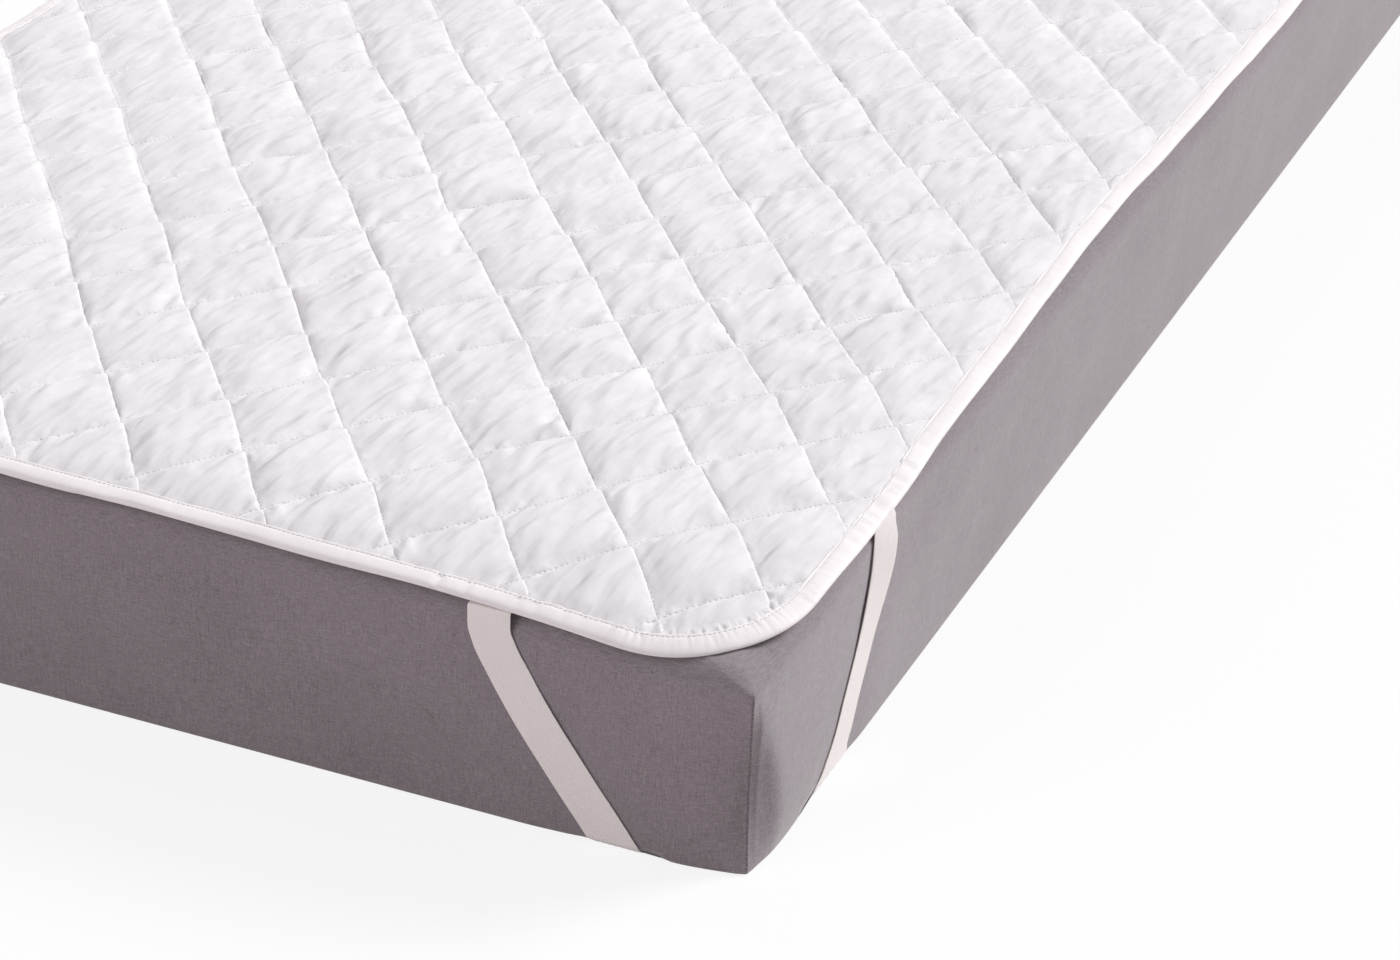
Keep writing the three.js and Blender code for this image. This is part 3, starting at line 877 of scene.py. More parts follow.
def makeQuiltedTop():
    (pLow, pHigh), (qLow, qHigh) = quiltMesh["diamonds"]
    pLines = (np.arange(pLow, pHigh)[:, None] + cellLines[None, :]).ravel()
    qLines = (np.arange(qLow, qHigh)[:, None] + cellLines[None, :]).ravel()
    gridP, gridQ = np.meshgrid(pLines, qLines, indexing="ij")
    inside = padInset(*quiltPoint(gridP, gridQ)) >= quiltMesh["edgeInset"]

    # every diamond takes one of the puffs of the patch, in its own size
    fine = np.zeros((pHigh - pLow, qHigh - qLow), bool)
    moved = np.zeros((*inside.shape, 3))
    for i, j in np.ndindex(fine.shape):
        centreX, centreY = quiltPoint(pLow + i + 0.5, qLow + j + 0.5)
        fine[i, j] = centreX > quiltMesh["fineFrom"] and centreY < quiltMesh["fineUpTo"]
        which = pickChance.integers(0, sewnPatch["across"], 2)
        size = 1 + pad["uneven"] * pickChance.uniform(-1, 1)
        puff = relief[which[0], which[1], :-1, :-1] * (1, 1, size)
        moved[i * perCell:(i + 1) * perCell, j * perCell:(j + 1) * perCell] = puff

    faces = quiltFaces(inside, fine)
    edge = edgeOf(faces)
    used = np.unique(np.concatenate([np.array(face) for face in faces]))
    renumber = -np.ones(inside.size, int)
    renumber[used] = np.arange(len(used))
    faces = [[int(renumber[k]) for k in face] for face in faces]
    edge = [int(renumber[k]) for k in edge]
    p, q = gridP.ravel()[used], gridQ.ravel()[used]
    x, y = quiltPoint(p, q)

    swollen = moved.reshape(-1, 3)[used]
    share = np.clip(fullness(p % 1, q % 1), 0, 1)
    patches = wrinkles["patchy"] + wrinkles["patchy"] * ripple(wrinklePlaces, x, y)
    patches = np.clip(patches, *wrinkles["patchLimits"])
    swollen[:, 2] += wrinkles["height"] * ripple(wrinkleWaves, x, y) * patches * share
    swollen *= rising(np.maximum(padInset(x, y) - pad["pinnedFrom"], 0), pad["pinnedReach"])[:, None]
    swollen[:, 2] += rimTucks(x, y)
    points = [sewnPoint(x, y) + swollen]
    plans = [np.stack([p, q], 1)]

    def addRing(rows, inset, above):
        ringX, ringY, _, _ = padRing(rows, inset)
        moveX, moveY, lift = rimMove(ringX, ringY)
        z = padUnderside(ringX, ringY) + above + lift
        first = sum(len(block) for block in points)
        points.append(np.stack([ringX + moveX, ringY + moveY, z], 1))
        plans.append(np.stack(quiltPlace(ringX, ringY), 1))
        return list(range(first, first + len(ringX)))

    def join(outer, inner):
        for k in range(len(outer)):
            faces.append((outer[k], outer[k - 1], inner[k - 1], inner[k]))

    # rings from the edge of the grid round the rim and under it
    stations = stationOf(x[edge], y[edge])
    ringNow = edge
    for inset, above in quiltMesh["rimRings"]:
        ringNext = addRing(stations, inset, above)
        join(ringNow, ringNext)
        ringNow = ringNext
    keep = list(range(0, len(stations), quiltMesh["underEvery"]))
    sparse = addRing(stations[keep], quiltMesh["underFirst"], 0.0)
    for k in range(len(keep)):
        following = (k + 1) % len(keep)
        stop = keep[following] if following else len(stations)
        outer = [ringNow[m % len(stations)] for m in range(keep[k], stop + 1)]
        faces.append(outer[::-1] + [sparse[k], sparse[following]])
    for inset in quiltMesh["underRings"]:
        deeper = addRing(stations[keep], inset, 0.0)
        join(sparse, deeper)
        sparse = deeper
    faces.append(sparse[::-1])
    uv = ("quiltPlan", np.concatenate(plans))
    return meshPiece("quilted_top", np.concatenate(points), faces, quiltCloth, uv=uv)


quiltedTop = makeQuiltedTop()
print("quilted top:", len(quiltedTop.data.polygons), "faces")


# short threads laid end to end: along the channels, on the tape and down the upright seams
threadSet = {"length": 2.3, "radius": 0.22, "arch": 0.22, "seated": 0.12}
tapeThread = {"length": 2.2, "radius": 0.28, "arch": 0.22, "seated": 0.12}
seamThread = {"length": 1.7, "radius": 0.34, "arch": 0.3, "seated": 0.1}
upwards = np.array([0.0, 0.0, 1.0])


# each thread is a bent bar with three corners, from its low ends up to its middle
def threadBars(places, directions, ups, size):
    length, radius, arch, seated = size.values()
    side = np.cross(directions, ups)
    side /= np.linalg.norm(side, axis=1)[:, None]
    points = []
    for along, rise in ((-0.5, -1.2), (0, 1), (0.5, -1.2)):
        centre = places + directions * along * length + ups * (seated + arch * 0.5 * rise)
        for across, high in ((-0.87, -0.5), (0, 1), (0.87, -0.5)):
            points.append(centre + side * across * radius + ups * high * radius)
    points = np.stack(points, 1).reshape(-1, 3)
    faces = []
    for first in range(0, 9 * len(places), 9):
        for ring, a in np.ndindex(2, 3):
            b = (a + 1) % 3
            low = first + ring * 3
            faces.append((low + a, low + 3 + a, low + 3 + b, low + b))
        faces.append((first, first + 1, first + 2))
        faces.append((first + 8, first + 7, first + 6))
    return points, faces


def makeQuiltStitches(name, rises):
    lines = np.arange(*quiltStitch["lines"])
    steps = (np.arange(quiltStitch["count"]) + 0.5) / quiltStitch["count"]
    along = (lines[:, None] + steps[None, :]).ravel()
    line, run = (part.ravel().astype(float) for part in np.meshgrid(lines, along, indexing="ij"))
    x, y = quiltPoint(run, line) if rises else quiltPoint(line, run)
    kept = padInset(x, y) > quiltStitch["fromEdge"]
    x, y = x[kept], y[kept]
    stepX, stepY = quilt["halfX"] * 0.01, quilt["halfY"] * (0.01 if rises else -0.01)
    direction = sewnPoint(x + stepX, y + stepY) - sewnPoint(x - stepX, y - stepY)
    direction /= np.linalg.norm(direction, axis=1)[:, None]
    points, faces = threadBars(sewnPoint(x, y), direction, upwards, threadSet)
    return meshPiece(name, points, faces, sewingThread)


quiltStitches = [
    makeQuiltStitches("quilt_stitches_rising", True),
    makeQuiltStitches("quilt_stitches_falling", False),
]
print("quilting stitches:", sum(len(piece.data.polygons) for piece in quiltStitches), "faces")

# binding: the fold of the tape as inset and height above the protector's underside
tape = {
    "spacing": 3.0,
    "cornerSteps": 126,
    "stitchInset": 10.3,
    "stitchHeight": 3.5,
    "stitchPitch": 3.3,
    "stitchCornerSteps": 42,
    "stitchReach": 1.1,    # the stitching holds the tape down this far
    "tuck": 0.75,
    "tuckOver": 0.3,       # only the part of a wave above this makes a tuck
    "smallTuck": 1.2,
    "smallOver": 0.1,
    "tuckReach": 2.6,
    "besideCorner": 110,
    "wave": 0.25,
    "roll": 0.45,          # how far the outer edge tips up and down
    "joinAt": -322,        # where the ends of the tape lap, on the right side
    "lap": 0.7,
    "lapReach": 30,
    "step": 1.3,           # down from one end to the other
    "stepBefore": 1.2,
    "stepWide": 1.6,
    "besideSideArm": (215, 70),   # the tape is drawn up beside the elastics: where and how wide
    "besideEndArm": (168, 50),
    "flatWide": 36,
}
tapeOutside = [
    (12.05, 3.1), (12.25, 3.5), (11.95, 3.85), (11.3, 3.9), (10.8, 3.65), (10.3, 3.4), (9.8, 3.6),
    (8.9, 3.9), (7.0, 3.9), (4.8, 3.7), (2.8, 3.4), (1.1, 3.0), (-0.1, 2.4), (-0.9, 1.6), (-1.3, 0.6),
]
tapeInside = [
    (-1.2, -0.05), (-0.7, -0.55), (0.6, -0.8), (4.0, -0.85), (8.0, -0.85), (11.0, -0.85), (11.3, -0.65),
    (11.2, -0.35), (8.0, -0.3), (3.0, -0.3), (0.6, -0.25), (0.0, 0.2), (-0.2, 0.75), (0.0, 1.25), (0.9, 1.6),
    (3.0, 2.0), (8.0, 2.9),
]
# single deeper folds across the tape on the right side: place along the bed, half width and depth
tapeFolds = [
    (-768, 2.2, 0.7),
    (-775, 2.4, 1.7),
    (-804, 2.4, 0.9),
    (-812, 2.2, 0.8),
    (-823, 2.4, 1.0),
    (-833, 2.2, 0.7),
    (-846, 2.6, 0.9),
]
tapeTucks = lineSet(21, 14, 20, 8)
tapeSmallTucks = lineSet(24, 14, 6.5, 3.3)
tapeSlow = lineSet(22, 8, 90, 35)
tapeRoll = lineSet(23, 7, 260, 90)


def onRightSide(x):
    return x > 400


def besideElastics(x, y):
    fromSide, fromEnd = fromEnds(x, y)
    sideAt, sideWide = tape["besideSideArm"]
    endAt, endWide = tape["besideEndArm"]
    onSide = bell(fromEnd - sideAt, sideWide) * onRightSide(np.abs(x))
    return onSide + bell(fromSide - endAt, endWide) * (np.abs(y) > 950)


def foldDepth(x, y):
    depth = np.zeros(len(x))
    for place, wide, deep in tapeFolds:
        depth += deep * bell(y - place, wide) * onRightSide(x)
    return depth


# where the two ends of the tape lap, one end stands a little proud
def tapeLap(x, y):
    fromJoin = np.where(onRightSide(x), y - tape["joinAt"], 9999)
    lap = tape["lap"] * (fromJoin > 0) * np.exp(-np.abs(fromJoin) / tape["lapReach"])
    return lap - tape["step"] * bell(fromJoin + tape["stepBefore"], tape["stepWide"])


def limited(value):
    return min(max(value, 0), 1)


def makeBinding():
    stations = padStations(tape["spacing"], tape["cornerSteps"])
    edgeX, edgeY, _, _ = padRing(stations, 0)
    moveX, moveY, lift = rimMove(edgeX, edgeY)
    run = np.concatenate([[0], np.cumsum(np.hypot(np.diff(edgeX), np.diff(edgeY)))])
    corner = nearCorner(edgeX, edgeY, tape["besideCorner"])
    beside = besideElastics(edgeX, edgeY)
    tuck = -np.maximum(lineRipple(tapeTucks, run) - tape["tuckOver"], 0) ** 1.5 * tape["tuck"]
    tuck = tuck * (0.35 + 0.3 * corner + 1.0 * beside)
    small = -np.maximum(lineRipple(tapeSmallTucks, run) - tape["smallOver"], 0) ** 1.2 * tape["smallTuck"]
    small = small * (corner + 0.5 * beside)
    slow = lineRipple(tapeSlow, run) * tape["wave"]
    roll = lineRipple(tapeRoll, run) * tape["roll"] * (1 - 0.8 * np.clip(beside, 0, 1))
    lap, folds = tapeLap(edgeX, edgeY), foldDepth(edgeX, edgeY)
    points, plans = [], []
    around, before = 0.0, None
    fold = [(row, True) for row in tapeOutside] + [(row, False) for row in tapeInside]
    for (inset, above), outside in fold:
        ringX, ringY, nx, ny = padRing(stations, inset)
        fromStitch = abs(inset - tape["stitchInset"])
        free = 1 - math.exp(-(fromStitch / tape["stitchReach"]) ** 2)
        near = math.exp(-fromStitch / tape["tuckReach"])
        swell = 0 * run
        if outside:
            swell = (tuck * (0.45 + 0.55 * near) + small * near + slow + lap - folds) * free
        topShare = limited((above - 0.4) / 1.6)
        outerShare = 1 - limited((inset + 1.4) / 12)
        z = padUnderside(ringX, ringY) + above + lift + swell * topShare + roll * outerShare
        push = swell * (1 - topShare) * 0.8
        points.append(np.stack([ringX + moveX + nx * push, ringY + moveY + ny * push, z], 1))
        around += 0 if before is None else math.hypot(inset - before[0], above - before[1])
        before = (inset, above)
        plans.append(np.stack([run, np.full(len(run), around)], 1))
    faces = turnedOver(ringFaces(len(fold), len(stations), closeAcross=True))
    uv = ("tapePlan", np.concatenate(plans))
    piece = meshPiece("edge_binding_tape", np.concatenate(points), faces, tapeCloth, uv=uv)
    return piece, run[-1] / 1000


bindingTape, rimLength = makeBinding()
print("binding:", len(bindingTape.data.polygons), "faces,", round(rimLength, 2), "m round")


def makeBindingStitches():
    stations = padStations(tape["stitchPitch"], tape["stitchCornerSteps"])
    x, y, nx, ny = padRing(stations, tape["stitchInset"])
    moveX, moveY, lift = rimMove(*padRing(stations, 0)[:2])
    places = np.stack([x + moveX, y + moveY, padUnderside(x, y) + tape["stitchHeight"] + lift], 1)
    points, faces = threadBars(places, np.stack([-ny, nx, 0 * nx], 1), upwards, tapeThread)
    return meshPiece("binding_stitches", points, faces, sewingThread)


bindingStitches = makeBindingStitches()

# elastics
elastic = {
    "width": 28,
    "thick": 1.2,
    "edgeThin": 0.55,      # share of the thickness left at the two edges
    "ribs": 4,             # each way from the middle
    "ribHigh": 0.07,
    "faceGap": 0.35,
    "floorGap": 0.25,
    "rimGap": 0.4,
    "tapeBelow": 1.4,      # how far the tape may reach down below the protector
    "tuck": 9,
    "bend": 1.8,
    "bottomBend": 4,
    "acrossSteps": 16,
    "lineStep": 3.0,
    "joinSteps": 12,       # across under the corner
    "twistTop": 1.6,       # how far one edge stands out at the top, and further down
    "twist": 5,
    "twistUpTo": (58, 122),
    "twistEases": (126, 142),
    "twistEased": 0.45,
    "slack": 1.08,         # stretched length over cut length
}
# the middle of each arm from its top down: height, distance from the corner
endArm = [(134, 169.5), (122, 166), (104, 156.5), (83, 144), (44, 117), (10, 92)]
sideArm = [(134, 202), (116, 200.5), (98, 195), (78, 186), (44, 164), (13, 140), (4, 129)]
lowestSlant = {"end": 0.72, "side": 1.7}   # how far each arm leans where it turns under
elasticCorners = [  # name, sign of x and y, how far the side arm is twisted
    ("front_right", 1, -1, 1.0),
    ("front_left", -1, -1, 0.35),
    ("back_right", 1, 1, 0.6),
    ("back_left", -1, 1, 0.8),
]


# smooth curve through the rows of an arm
def armCurve(arm, heights, lowest):
    rows = np.array(arm, float)[::-1]
    slopes = np.gradient(rows[:, 1], rows[:, 0])
    slopes[0] = lowest
    slopes[-1] = 0
    place = np.clip(np.searchsorted(rows[:, 0], heights) - 1, 0, len(rows) - 2)
    span = rows[place + 1, 0] - rows[place, 0]
    t = np.clip((heights - rows[place, 0]) / span, 0, 1)
    along = ((2 * t ** 3 - 3 * t ** 2 + 1) * rows[place, 1] + (t ** 3 - 2 * t ** 2 + t) * span * slopes[place]
             + (-2 * t ** 3 + 3 * t ** 2) * rows[place + 1, 1] + (t ** 3 - t ** 2) * span * slopes[place + 1])
    along = np.where(heights < rows[0, 0], rows[0, 1] - lowest * (rows[0, 0] - heights), along)
    return along, np.gradient(along, heights)


# where the middle of an arm reaches the underside, and how far along an arm is at a height
def armFoot(arm, lowest):
    return arm[-1][1] - lowest * (arm[-1][0] - elastic["bottomBend"] * (1 - math.pi / 2))


def armMiddle(arm, z):
    return np.interp(z, [row[0] for row in arm[::-1]], [row[1] for row in arm[::-1]])


def onFace(signX, signY, face, along, out, z):
    inX, inY = (along, -out) if face == "end" else (-out, along)
    return np.array([signX * (bed["halfWidth"] - inX), signY * (bed["halfLength"] - inY), z])


# cross-lines of one arm: rows of points across the inner and the outer surface
def armLines(signX, signY, face, arm, twist):
    lines = []
    half, thick = elastic["width"] / 2, elastic["thick"] / 2
    bend, bottom = elastic["bend"], elastic["bottomBend"]
    onSide = elastic["faceGap"] + thick
    shares = np.linspace(-1, 1, elastic["acrossSteps"] + 1)

    def addLine(along, slant, out, z, nOut, nUp, turned=0.0):
        wide = half * math.hypot(1, slant)
        inner, outer = [], []
        for share in shares:
            proud = out + turned * (share + 1) / 2
            atEdge = abs(share) > 0.97
            away = thick * (elastic["edgeThin"] if atEdge else 1.0)
            ribUp = 0 if atEdge else elastic["ribHigh"] * math.cos(share * math.pi * 2 * elastic["ribs"])
            for sheet, off in ((inner, -away), (outer, away + ribUp)):
                place = along + share * wide, proud + nOut * off, z + nUp * off
                sheet.append(onFace(signX, signY, face, *place))
        lines.append((inner, outer))

    topAlong = arm[0][1]
    edges = [onFace(signX, signY, face, topAlong + share * half, onSide, 0) for share in (-1, 1)]
    lowestRim = min(float(padUnderside(edge[0], edge[1])) for edge in edges)
    bendTop = lowestRim - elastic["tapeBelow"] - elastic["rimGap"] - thick
    addLine(topAlong, 0, -elastic["tuck"], bendTop, 0, 1)
    for angle in np.linspace(90, 0, 7):
        turn = math.radians(angle)
        out, z = onSide - bend * (1 - math.cos(turn)), bendTop - bend * (1 - math.sin(turn))
        early = twist * (1 - angle / 90) * elastic["twistTop"]
        addLine(topAlong, 0, out, z, math.cos(turn), math.sin(turn), early)
    heights = np.append(np.arange(bendTop - bend - elastic["lineStep"], bottom, -elastic["lineStep"]), bottom)
    lowest = lowestSlant[face]
    alongs, slants = armCurve(arm, heights, lowest)
    slants[-1] = lowest
    for along, slant, z in zip(alongs, slants, heights):
        eased = 1 - elastic["twistEased"] * smoothStep(z, *elastic["twistEases"])
        share = float(smoothStep(z, *elastic["twistUpTo"]) * eased)
        addLine(along, slant, onSide, z, 1, 0, twist * elastic["twist"] * share)
    sunk = elastic["floorGap"] + thick
    for angle in np.linspace(10, 90, 9):
        turn = math.radians(angle)
        away = (bottom + onSide) + (bottom - sunk - bottom - onSide) * angle / 90
        along = alongs[-1] - lowest * bottom * turn
        out, z = away * math.cos(turn) - bottom, bottom - away * math.sin(turn)
        addLine(along, lowest, out, z, math.cos(turn), -math.sin(turn))
    return lines


def makeElastic(name, signX, signY, twist):
    lines = armLines(signX, signY, "end", endArm, 0.0)
    up = armLines(signX, signY, "side", sideArm, twist)[::-1]
    foot = lines[-1]
    for step in range(1, elastic["joinSteps"]):
        share = step / elastic["joinSteps"]
        lines.append([[a + (b - a) * share for a, b in zip(*rows)] for rows in zip(foot, up[0])])
    lines += up
    wide = elastic["acrossSteps"] + 1
    points, plans = [], []
    run, before = 0.0, None
    across = np.linspace(-1, 1, wide) * elastic["width"] / 2
    for inner, outer in lines:
        middle = outer[wide // 2]
        run += 0 if before is None else float(np.linalg.norm(middle - before))
        before = middle
        points += inner + outer[::-1]
        plans += [(a, run) for a in np.append(across, across[::-1])]
    count = 2 * wide
    faces = closedFaces(len(lines), count)
    if signX * signY > 0:
        faces = turnedOver(faces)
    uv = ("elasticPlan", plans)
    return meshPiece("elastic_" + name, points, faces, elasticCloth, uv=uv, sharpAngle=50), run


for name, signX, signY, twist in elasticCorners:
    piece, run = makeElastic(name, signX, signY, twist)
    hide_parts("corner_elastic_" + name)

# mattress in its plain cover; the upright seams stand a little in from the true corners,
# and the cloth turns in towards them from both faces
cover = {
    "spacing": 4.2,
    "bottomRound": 1.8,
    "cornerRadius": 2.4,
    "cornerGrowth": 0.95,
    "cornerSteps": 16,
    "sideRings": 22,
    "underInsets": [120, 100, 85, 70, 60, 50, 40, 32, 25, 18, 12, 8, 5.5],   # from the middle outwards
    "bottomAngles": [90, 72, 54, 36, 18],
    "shoulderAngles": [12, 24, 36, 48, 60, 72, 81, 90],
    "topInsets": [33, 45, 60, 75, 100, 130, 180],
    "seamTop": 129,
    "seamDeep": 0.3,
    "seamWide": 0.6,
    "seamPitch": 3.3,
    "slack": 0.9,          # how far the cloth sinks in between its edges
    "slackFrom": (3, 14),
    "creased": 0.25,
    "plump": 2.0,          # how far it swells out away from the elastics
    "plumpReach": 34,
    "plumpFrom": (40, 110),   # distances from the corner
    "dent": 1.9,           # pressed in by the elastics at the bottom
    "dentReach": (18, 28),
    "footOut": 1.3,        # and spreads a little between them
    "footUpTo": (2, 45),
    "footAway": (20, 55),
    "footCorner": (12, 60),
    "cornerLift": 0.15,    # the bottom corners stand clear of the floor
    "liftReach": 42,
    "cornerShoulder": 10.5,  # the shoulder is this much lower at a corner
    "shoulderReach": 80,
    "steeper": 0.48,
    "steepReach": 60,
    "steepUpTo": (20, 90),
    "room": 0.2,           # left under the protector, and more under its rim
    "rimRoom": 1.1,
    "rimRoomUpTo": (11, 14),
}
turnIn = {
    "z": [0, 4, 15, 30, 54, 76, 101, 120, 129],
    "deep": [0.42, 0.52, 0.76, 0.94, 1.0, 0.85, 0.5, 0.15, 0.0],   # share of the two distances below
    "sideLong": [26, 26, 26, 25, 21, 15, 10, 6, 4],             # length of the flat band beside the seam
    "sideFull": [0.5, 1.0, 3.5, 5.0, 5.2, 4.4, 2.8, 0.8, 0.2],  # how far the side swells where the band ends
    "inX": 6.5,
    "inY": 13.8,
    "sideReach": 70,
    "endReach": 60,
    "bend": 0.38,
    "fullReach": 45,
}
coverWaves = rippleSet(31, 16, 420, 140)
coverFine = rippleSet(32, 24, 90, 40, heading=75, spread=25)


def softRamp(value):
    return np.logaddexp(0, turnIn["bend"] * value) / turnIn["bend"]


# how far the cloth moves in from the plain side and end faces beside an upright seam
def turnedIn(z, sideFrom, endFrom, onSide, onEnd):
    deep, long, full = (np.interp(z, turnIn["z"], turnIn[key]) for key in ("deep", "sideLong", "sideFull"))
    inX, inY = turnIn["inX"] * deep, turnIn["inY"] * deep
    sideShare = np.clip(1 - sideFrom / turnIn["sideReach"], 0, 1) ** 2
    fromSeam = np.maximum(sideFrom + inY * (sideShare - 1), 0)
    slope = (full + inX) / softRamp(long)
    faded = full * (1 - bell(np.maximum(fromSeam - long, 0), turnIn["fullReach"]))
    sideX = slope * softRamp(long - fromSeam) - full + faded
    endShare = np.clip(1 - endFrom / turnIn["endReach"], 0, 1) ** 2.2
    x = np.where(onSide, sideX, np.where(onEnd, inX * endShare, inX))
    y = np.where(onSide, inY * sideShare, np.where(onEnd, inY * endShare, inY))
    return x, y


def shoulderAt(x, y):
    return bed["shoulderHigh"] - cover["cornerShoulder"] * nearCorner(x, y, cover["shoulderReach"])


def coverFall(x, y):
    return fallAtEdge(x, y) + bed["bareCorners"] * nearCorner(x, y, bed["bareReach"])


# the end faces rise steeper to the top beside a corner, and nothing stands up into the protector
def settled(x, y, z, share):
    fromSide, fromEnd = fromEnds(x, y)
    steep = cover["steeper"] * share * bell(fromSide, cover["steepReach"])
    y = y + np.sign(y) * fromEnd * steep * (1 - smoothStep(fromEnd, *cover["steepUpTo"]))
    under = padInset(x, y)
    rimRoom = cover["rimRoom"] * (1 - smoothStep(under, *cover["rimRoomUpTo"]))
    room = padUnderside(x, y) - cover["room"] - rimRoom
    z = z - rimSag(x, y)
    return x, y, np.where(under > -1.5, np.minimum(z, room), z), "top"


# plain rings from under the mattress up its sides and over its shoulder
def coverRings(stations):
    radius, rounded = cover["cornerRadius"], cover["bottomRound"]
    turns = {key: [math.radians(angle) for angle in cover[key]] for key in ("bottomAngles", "shoulderAngles")}

    def ring(inset, radius):
        return ringPlan(stations, bed["halfWidth"] - inset, bed["halfLength"] - inset, radius)[:2]

    def topRing(inset):
        return ring(inset, min(radius + cover["cornerGrowth"] * inset, bed["topCorner"]))

    rings = []
    for inset in cover["underInsets"]:
        x, y = ring(inset, radius)
        rings.append((x, y, np.zeros(len(x)), "bottom"))
    for turn in turns["bottomAngles"]:
        x, y = ring(rounded * (1 - math.cos(turn)), radius)
        rings.append((x, y, np.full(len(x), rounded * (1 - math.sin(turn))), "bottom"))
    x, y = ring(0, radius)
    top = bed["height"] - shoulderAt(x, y) - coverFall(x, y) - rimSag(x, y)
    for share in np.linspace(0, 1, cover["sideRings"]):
        rings.append((x, y, rounded + (top - rounded) * share, "side"))
    for turn in turns["shoulderAngles"]:
        inset = bed["shoulderWide"] * (1 - math.cos(turn))
        x, y = topRing(inset)
        z = bed["height"] - shoulderAt(x, y) * (1 - math.sin(turn)) - coverFall(x, y) * fallShare(inset)
        rings.append(settled(x, y, z, math.sin(turn)))
    for inset in cover["topInsets"]:
        x, y = topRing(inset)
        rings.append(settled(x, y, bed["height"] - coverFall(x, y) * fallShare(inset), 1.0))
    return rings


# how far a place under the mattress is from an elastic, which crosses each corner in a straight line
def fromElasticUnder(x, y):
    footX, footY = armFoot(endArm, lowestSlant["end"]), armFoot(sideArm, lowestSlant["side"])
    cornerX, cornerY = fromEnds(x, y)
    t = ((cornerX - footX) * -footX + cornerY * footY) / (footX ** 2 + footY ** 2)
    t = np.clip(t, 0, 1)
    return np.hypot(cornerX - footX * (1 - t), cornerY - footY * t)


def makeMattress():
    radius, rounded = cover["cornerRadius"], cover["bottomRound"]
    outline = bed["halfWidth"], bed["halfLength"], radius
    stations = stationsRound(*outline, cover["spacing"], cover["cornerSteps"])
    sideX, sideY, sideNx, sideNy = ringPlan(stations, *outline)
    rings = coverRings(stations)

    # how far each station lies from the middle of its corner seam, along the surface
    onArc = stations[:, 2] == 0
    fromSeam = np.where(onArc, np.abs(stations[:, 1] - 0.5) * radius * math.pi / 2, 99)
    groove = cover["seamDeep"] * bell(fromSeam, cover["seamWide"])
    runX = sideX * np.abs(sideNy) + sideY * np.abs(sideNx)
    endFrom, sideFrom = fromEnds(sideX, sideY)
    onEnd = ~onArc & (np.abs(sideNy) > 0.9)
    onSide = ~onArc & (np.abs(sideNx) > 0.9)
    fromCorner = np.where(onEnd, endFrom, np.where(onSide, sideFrom, 0))

    def sideInward(z, apart, footShare):
        middle = np.sin(np.pi * np.clip((z - 4) / 150, 0, 1))
        slack = cover["slack"] * np.clip(0.5 + 0.5 * ripple(coverWaves, runX, z * 2.2), 0, 1.4)
        fine = cover["creased"] * np.clip(ripple(coverFine, runX, z) + 0.6, 0, 2)
        inward = (slack + fine) * middle * smoothStep(fromCorner, *cover["slackFrom"])
        away = 1 - bell(apart, cover["plumpReach"])
        inward -= cover["plump"] * middle * away * smoothStep(fromCorner, *cover["plumpFrom"])
        inward -= cover["footOut"] * (1 - smoothStep(z, *cover["footUpTo"])) * footShare
        return inward + groove * (1 - smoothStep(z, cover["seamTop"] - 6, cover["seamTop"] + 2))

    def bottomInward(x, y, z, apart, footShare):
        pressed = (1 - smoothStep(apart, *cover["dentReach"])) * (z < rounded)
        lean = np.clip((rounded - z) / rounded, 0, 1)
        reach = 1 - smoothStep(np.maximum(np.abs(sideX) - np.abs(x), np.abs(sideY) - np.abs(y)), 10, 12)
        return cover["dent"] * pressed * lean * reach * 0.5 - cover["footOut"] * footShare * reach

    points = []
    for x, y, z, kind in rings:
        inward, up = np.zeros(len(x)), np.zeros(len(x))
        apart = np.abs(fromCorner - np.where(onEnd, armMiddle(endArm, z), armMiddle(sideArm, z)))
        footShare = smoothStep(apart, *cover["footAway"]) * smoothStep(fromCorner, *cover["footCorner"])
        if kind == "side":
            inward = sideInward(z, apart, footShare)
        if kind == "bottom":
            inward = bottomInward(x, y, z, apart, footShare)
            up = cover["dent"] * (1 - smoothStep(fromElasticUnder(x, y), *cover["dentReach"])) * (z < 2)
        edgeShare = smoothStep(np.hypot(np.abs(sideX) - np.abs(x), np.abs(sideY) - np.abs(y)), 45, 8)
        inX, inY = turnedIn(z, sideFrom, endFrom, onSide, onEnd)
        cornerShare = 1 - smoothStep(np.hypot(*fromEnds(x, y)), 0, cover["liftReach"])
        up += cover["cornerLift"] * cornerShare * np.clip(1 - z / 45, 0, 1)
        newX = x - sideNx * inward - np.sign(x) * inX * edgeShare
        newY = y - sideNy * inward - np.sign(y) * inY * edgeShare
        points.append(np.stack([newX, newY, z + up], 1))
    seams = []
    for station in np.nonzero(onArc & (np.abs(stations[:, 1] - 0.5) < 0.01))[0]:
        seams.append(np.array([line[station] for line, ring in zip(points, rings) if ring[3] == "side"]))
    faces = closedFaces(len(rings), len(stations))
    return meshPiece("plain_mattress", np.concatenate(points), faces, coverCloth), seams


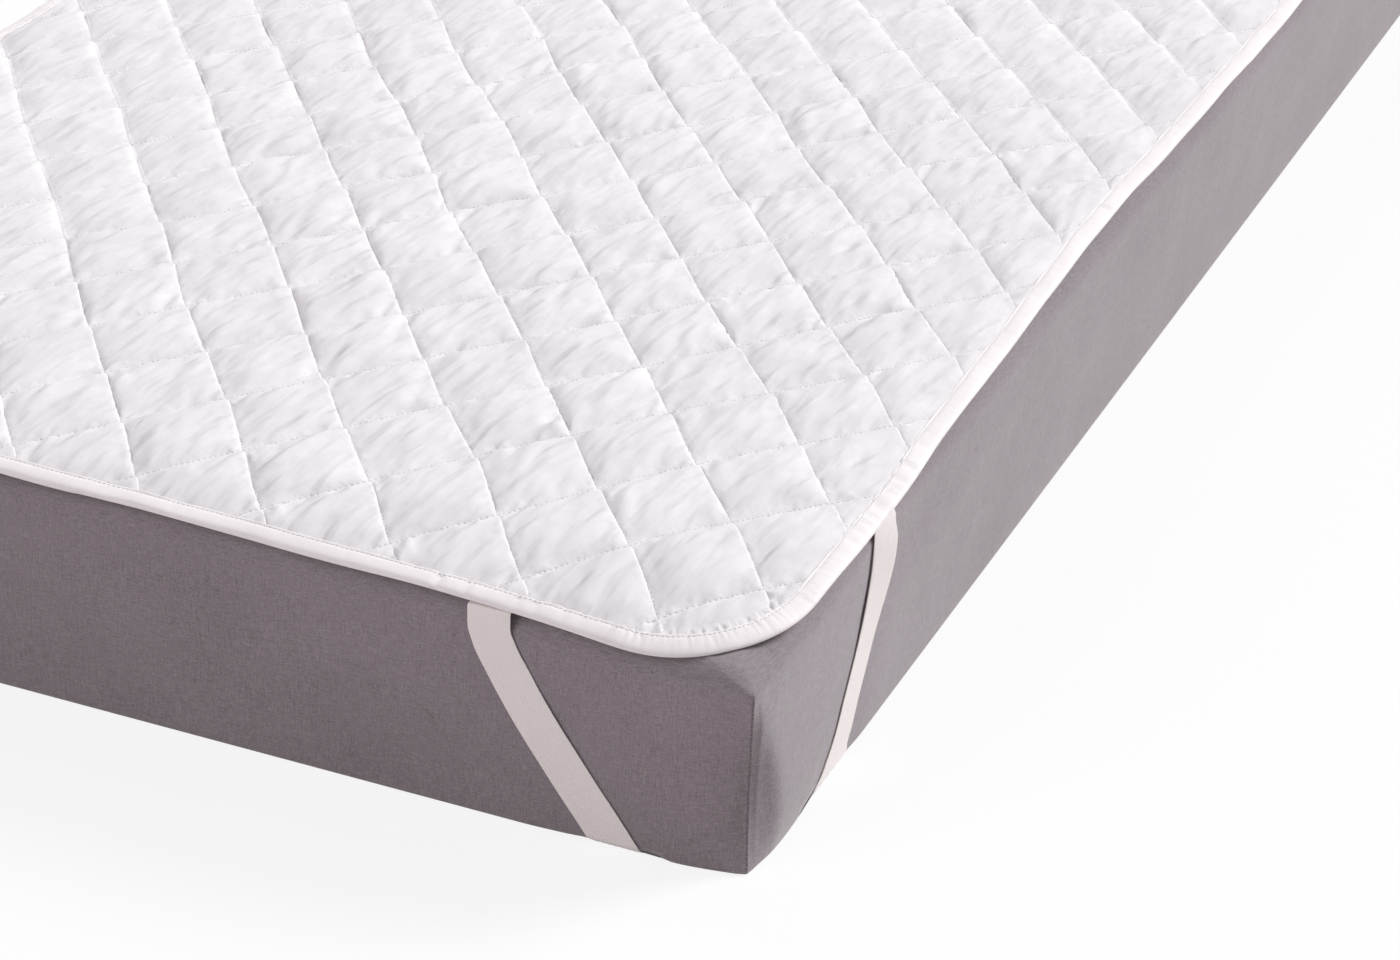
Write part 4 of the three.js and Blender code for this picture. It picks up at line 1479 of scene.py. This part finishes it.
# short stitches down the upright seams
def makeSeamStitches(seams):
    def along(line, run, stops):
        return np.stack([np.interp(stops, run, line[:, k]) for k in range(3)], 1)

    blocks = []
    for line in seams:
        run = np.concatenate([[0], np.cumsum(np.linalg.norm(np.diff(line, axis=0), axis=1))])
        stops = np.arange(1.5, np.interp(cover["seamTop"] - 3, line[:, 2], run), cover["seamPitch"])
        here, ahead = along(line, run, stops), along(line, run, stops + 1)
        direction = (ahead - here) / np.linalg.norm(ahead - here, axis=1)[:, None]
        outward = [math.copysign(0.6, line[0, 0]), math.copysign(0.8, line[0, 1]), 0.0]
        blocks.append((here, direction, np.tile(outward, (len(stops), 1))))
    points, faces = threadBars(*(np.concatenate(parts) for parts in zip(*blocks)), seamThread)
    meshPiece("corner_seam_stitches", points, faces, coverThread)


mattress, cornerSeams = makeMattress()
makeSeamStitches(cornerSeams)
print("mattress:", len(mattress.data.polygons), "faces")

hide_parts("mattress")
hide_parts("quilted_pad")
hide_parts("edge_binding")

# floor, light and background
studio = {
    "ambient": 0.27,
    "shadowKept": 0.16,
    "floorReach": 16,
    "floorSeen": (0.97, 0.97, 0.97, 1),
    "floorBounce": (0.66, 0.59, 0.61, 1),   # what the floor throws back at the object
}
white = (1, 1, 1, 1)
lamps = {   # kind, where it stands, what it shines at, and its settings
    "keyLamp": ("SUN", (2.18, 2.54, 2.22), (0, 0, 0), {
        "energy": 0.965 * math.pi,
        "angle": math.radians(22),
    }),
    "fillLamp": ("SUN", (-2.2, -2.8, 1.8), (0, 0, 0), {
        "energy": 0.35 * math.pi,
        "angle": math.radians(40),
        "color": (1, 0.93, 0.95),
    }),
    # a wide soft lamp above the far left part of the bed
    "overheadLamp": ("SPOT", (-1.2, 0.7, 3.6), (-0.5, 0.0, 0.17), {
        "energy": 46,
        "shadow_soft_size": 0.5,
        "spot_size": math.radians(62),
        "spot_blend": 1.0,
    }),
}


# one where the camera, a mirror or glass sees a place, and nothing for other light
def seenDirectly(tree):
    path = node(tree, "ShaderNodeLightPath").outputs
    mirrored = maths(tree, "MAXIMUM", path["Is Glossy Ray"], path["Is Transmission Ray"])
    return maths(tree, "MAXIMUM", path["Is Camera Ray"], mirrored)


def mixShaders(tree, share, first, second):
    return node(tree, "ShaderNodeMixShader", i0=share, i1=first.outputs[0], i2=second.outputs[0]).outputs[0]


def makeFloor():
    reach = studio["floorReach"]
    corners = [(x * reach, y * reach, 0) for x, y in ((-1, -1), (1, -1), (1, 1), (-1, 1))]
    mesh = bpy.data.meshes.new("floor")
    mesh.from_pydata(corners, [], [(0, 1, 2, 3)])
    material, tree = newMaterial("paleFloor")
    tree.nodes.remove(tree.nodes["Principled BSDF"])
    seen = seenDirectly(tree)
    colour = blendColours(tree, seen, studio["floorBounce"], studio["floorSeen"])
    matt = node(tree, "ShaderNodeBsdfDiffuse", Color=colour)
    glow = node(tree, "ShaderNodeEmission", Color=white, Strength=1.0)
    share = maths(tree, "MULTIPLY", seen, 1 - studio["shadowKept"])
    put(tree, tree.nodes["Material Output"].inputs["Surface"], mixShaders(tree, share, matt, glow))
    mesh.materials.append(material)
    linked("floor", mesh)


def makeWorld():
    world = bpy.data.worlds.new("studio")
    bpy.context.scene.world = world
    world.use_nodes = True
    tree = world.node_tree
    tree.nodes.clear()
    dim = node(tree, "ShaderNodeBackground", Color=white, Strength=studio["ambient"])
    full = node(tree, "ShaderNodeBackground", Color=white, Strength=1.0)
    node(tree, "ShaderNodeOutputWorld", Surface=mixShaders(tree, seenDirectly(tree), dim, full))


def makeLamp(name, kind, place, aim, settings):
    data = bpy.data.lights.new(name, kind)
    for key, value in settings.items():
        setattr(data, key, value)
    lamp = linked(name, data)
    lamp.location = place
    lamp.rotation_mode = "QUATERNION"
    lamp.rotation_quaternion = (Vector(place) - Vector(aim)).to_track_quat("Z", "Y")


makeFloor()
makeWorld()
for name, lamp in lamps.items():
    makeLamp(name, *lamp)
bpy.context.scene.view_settings.view_transform = "Standard"
print("studio lit")
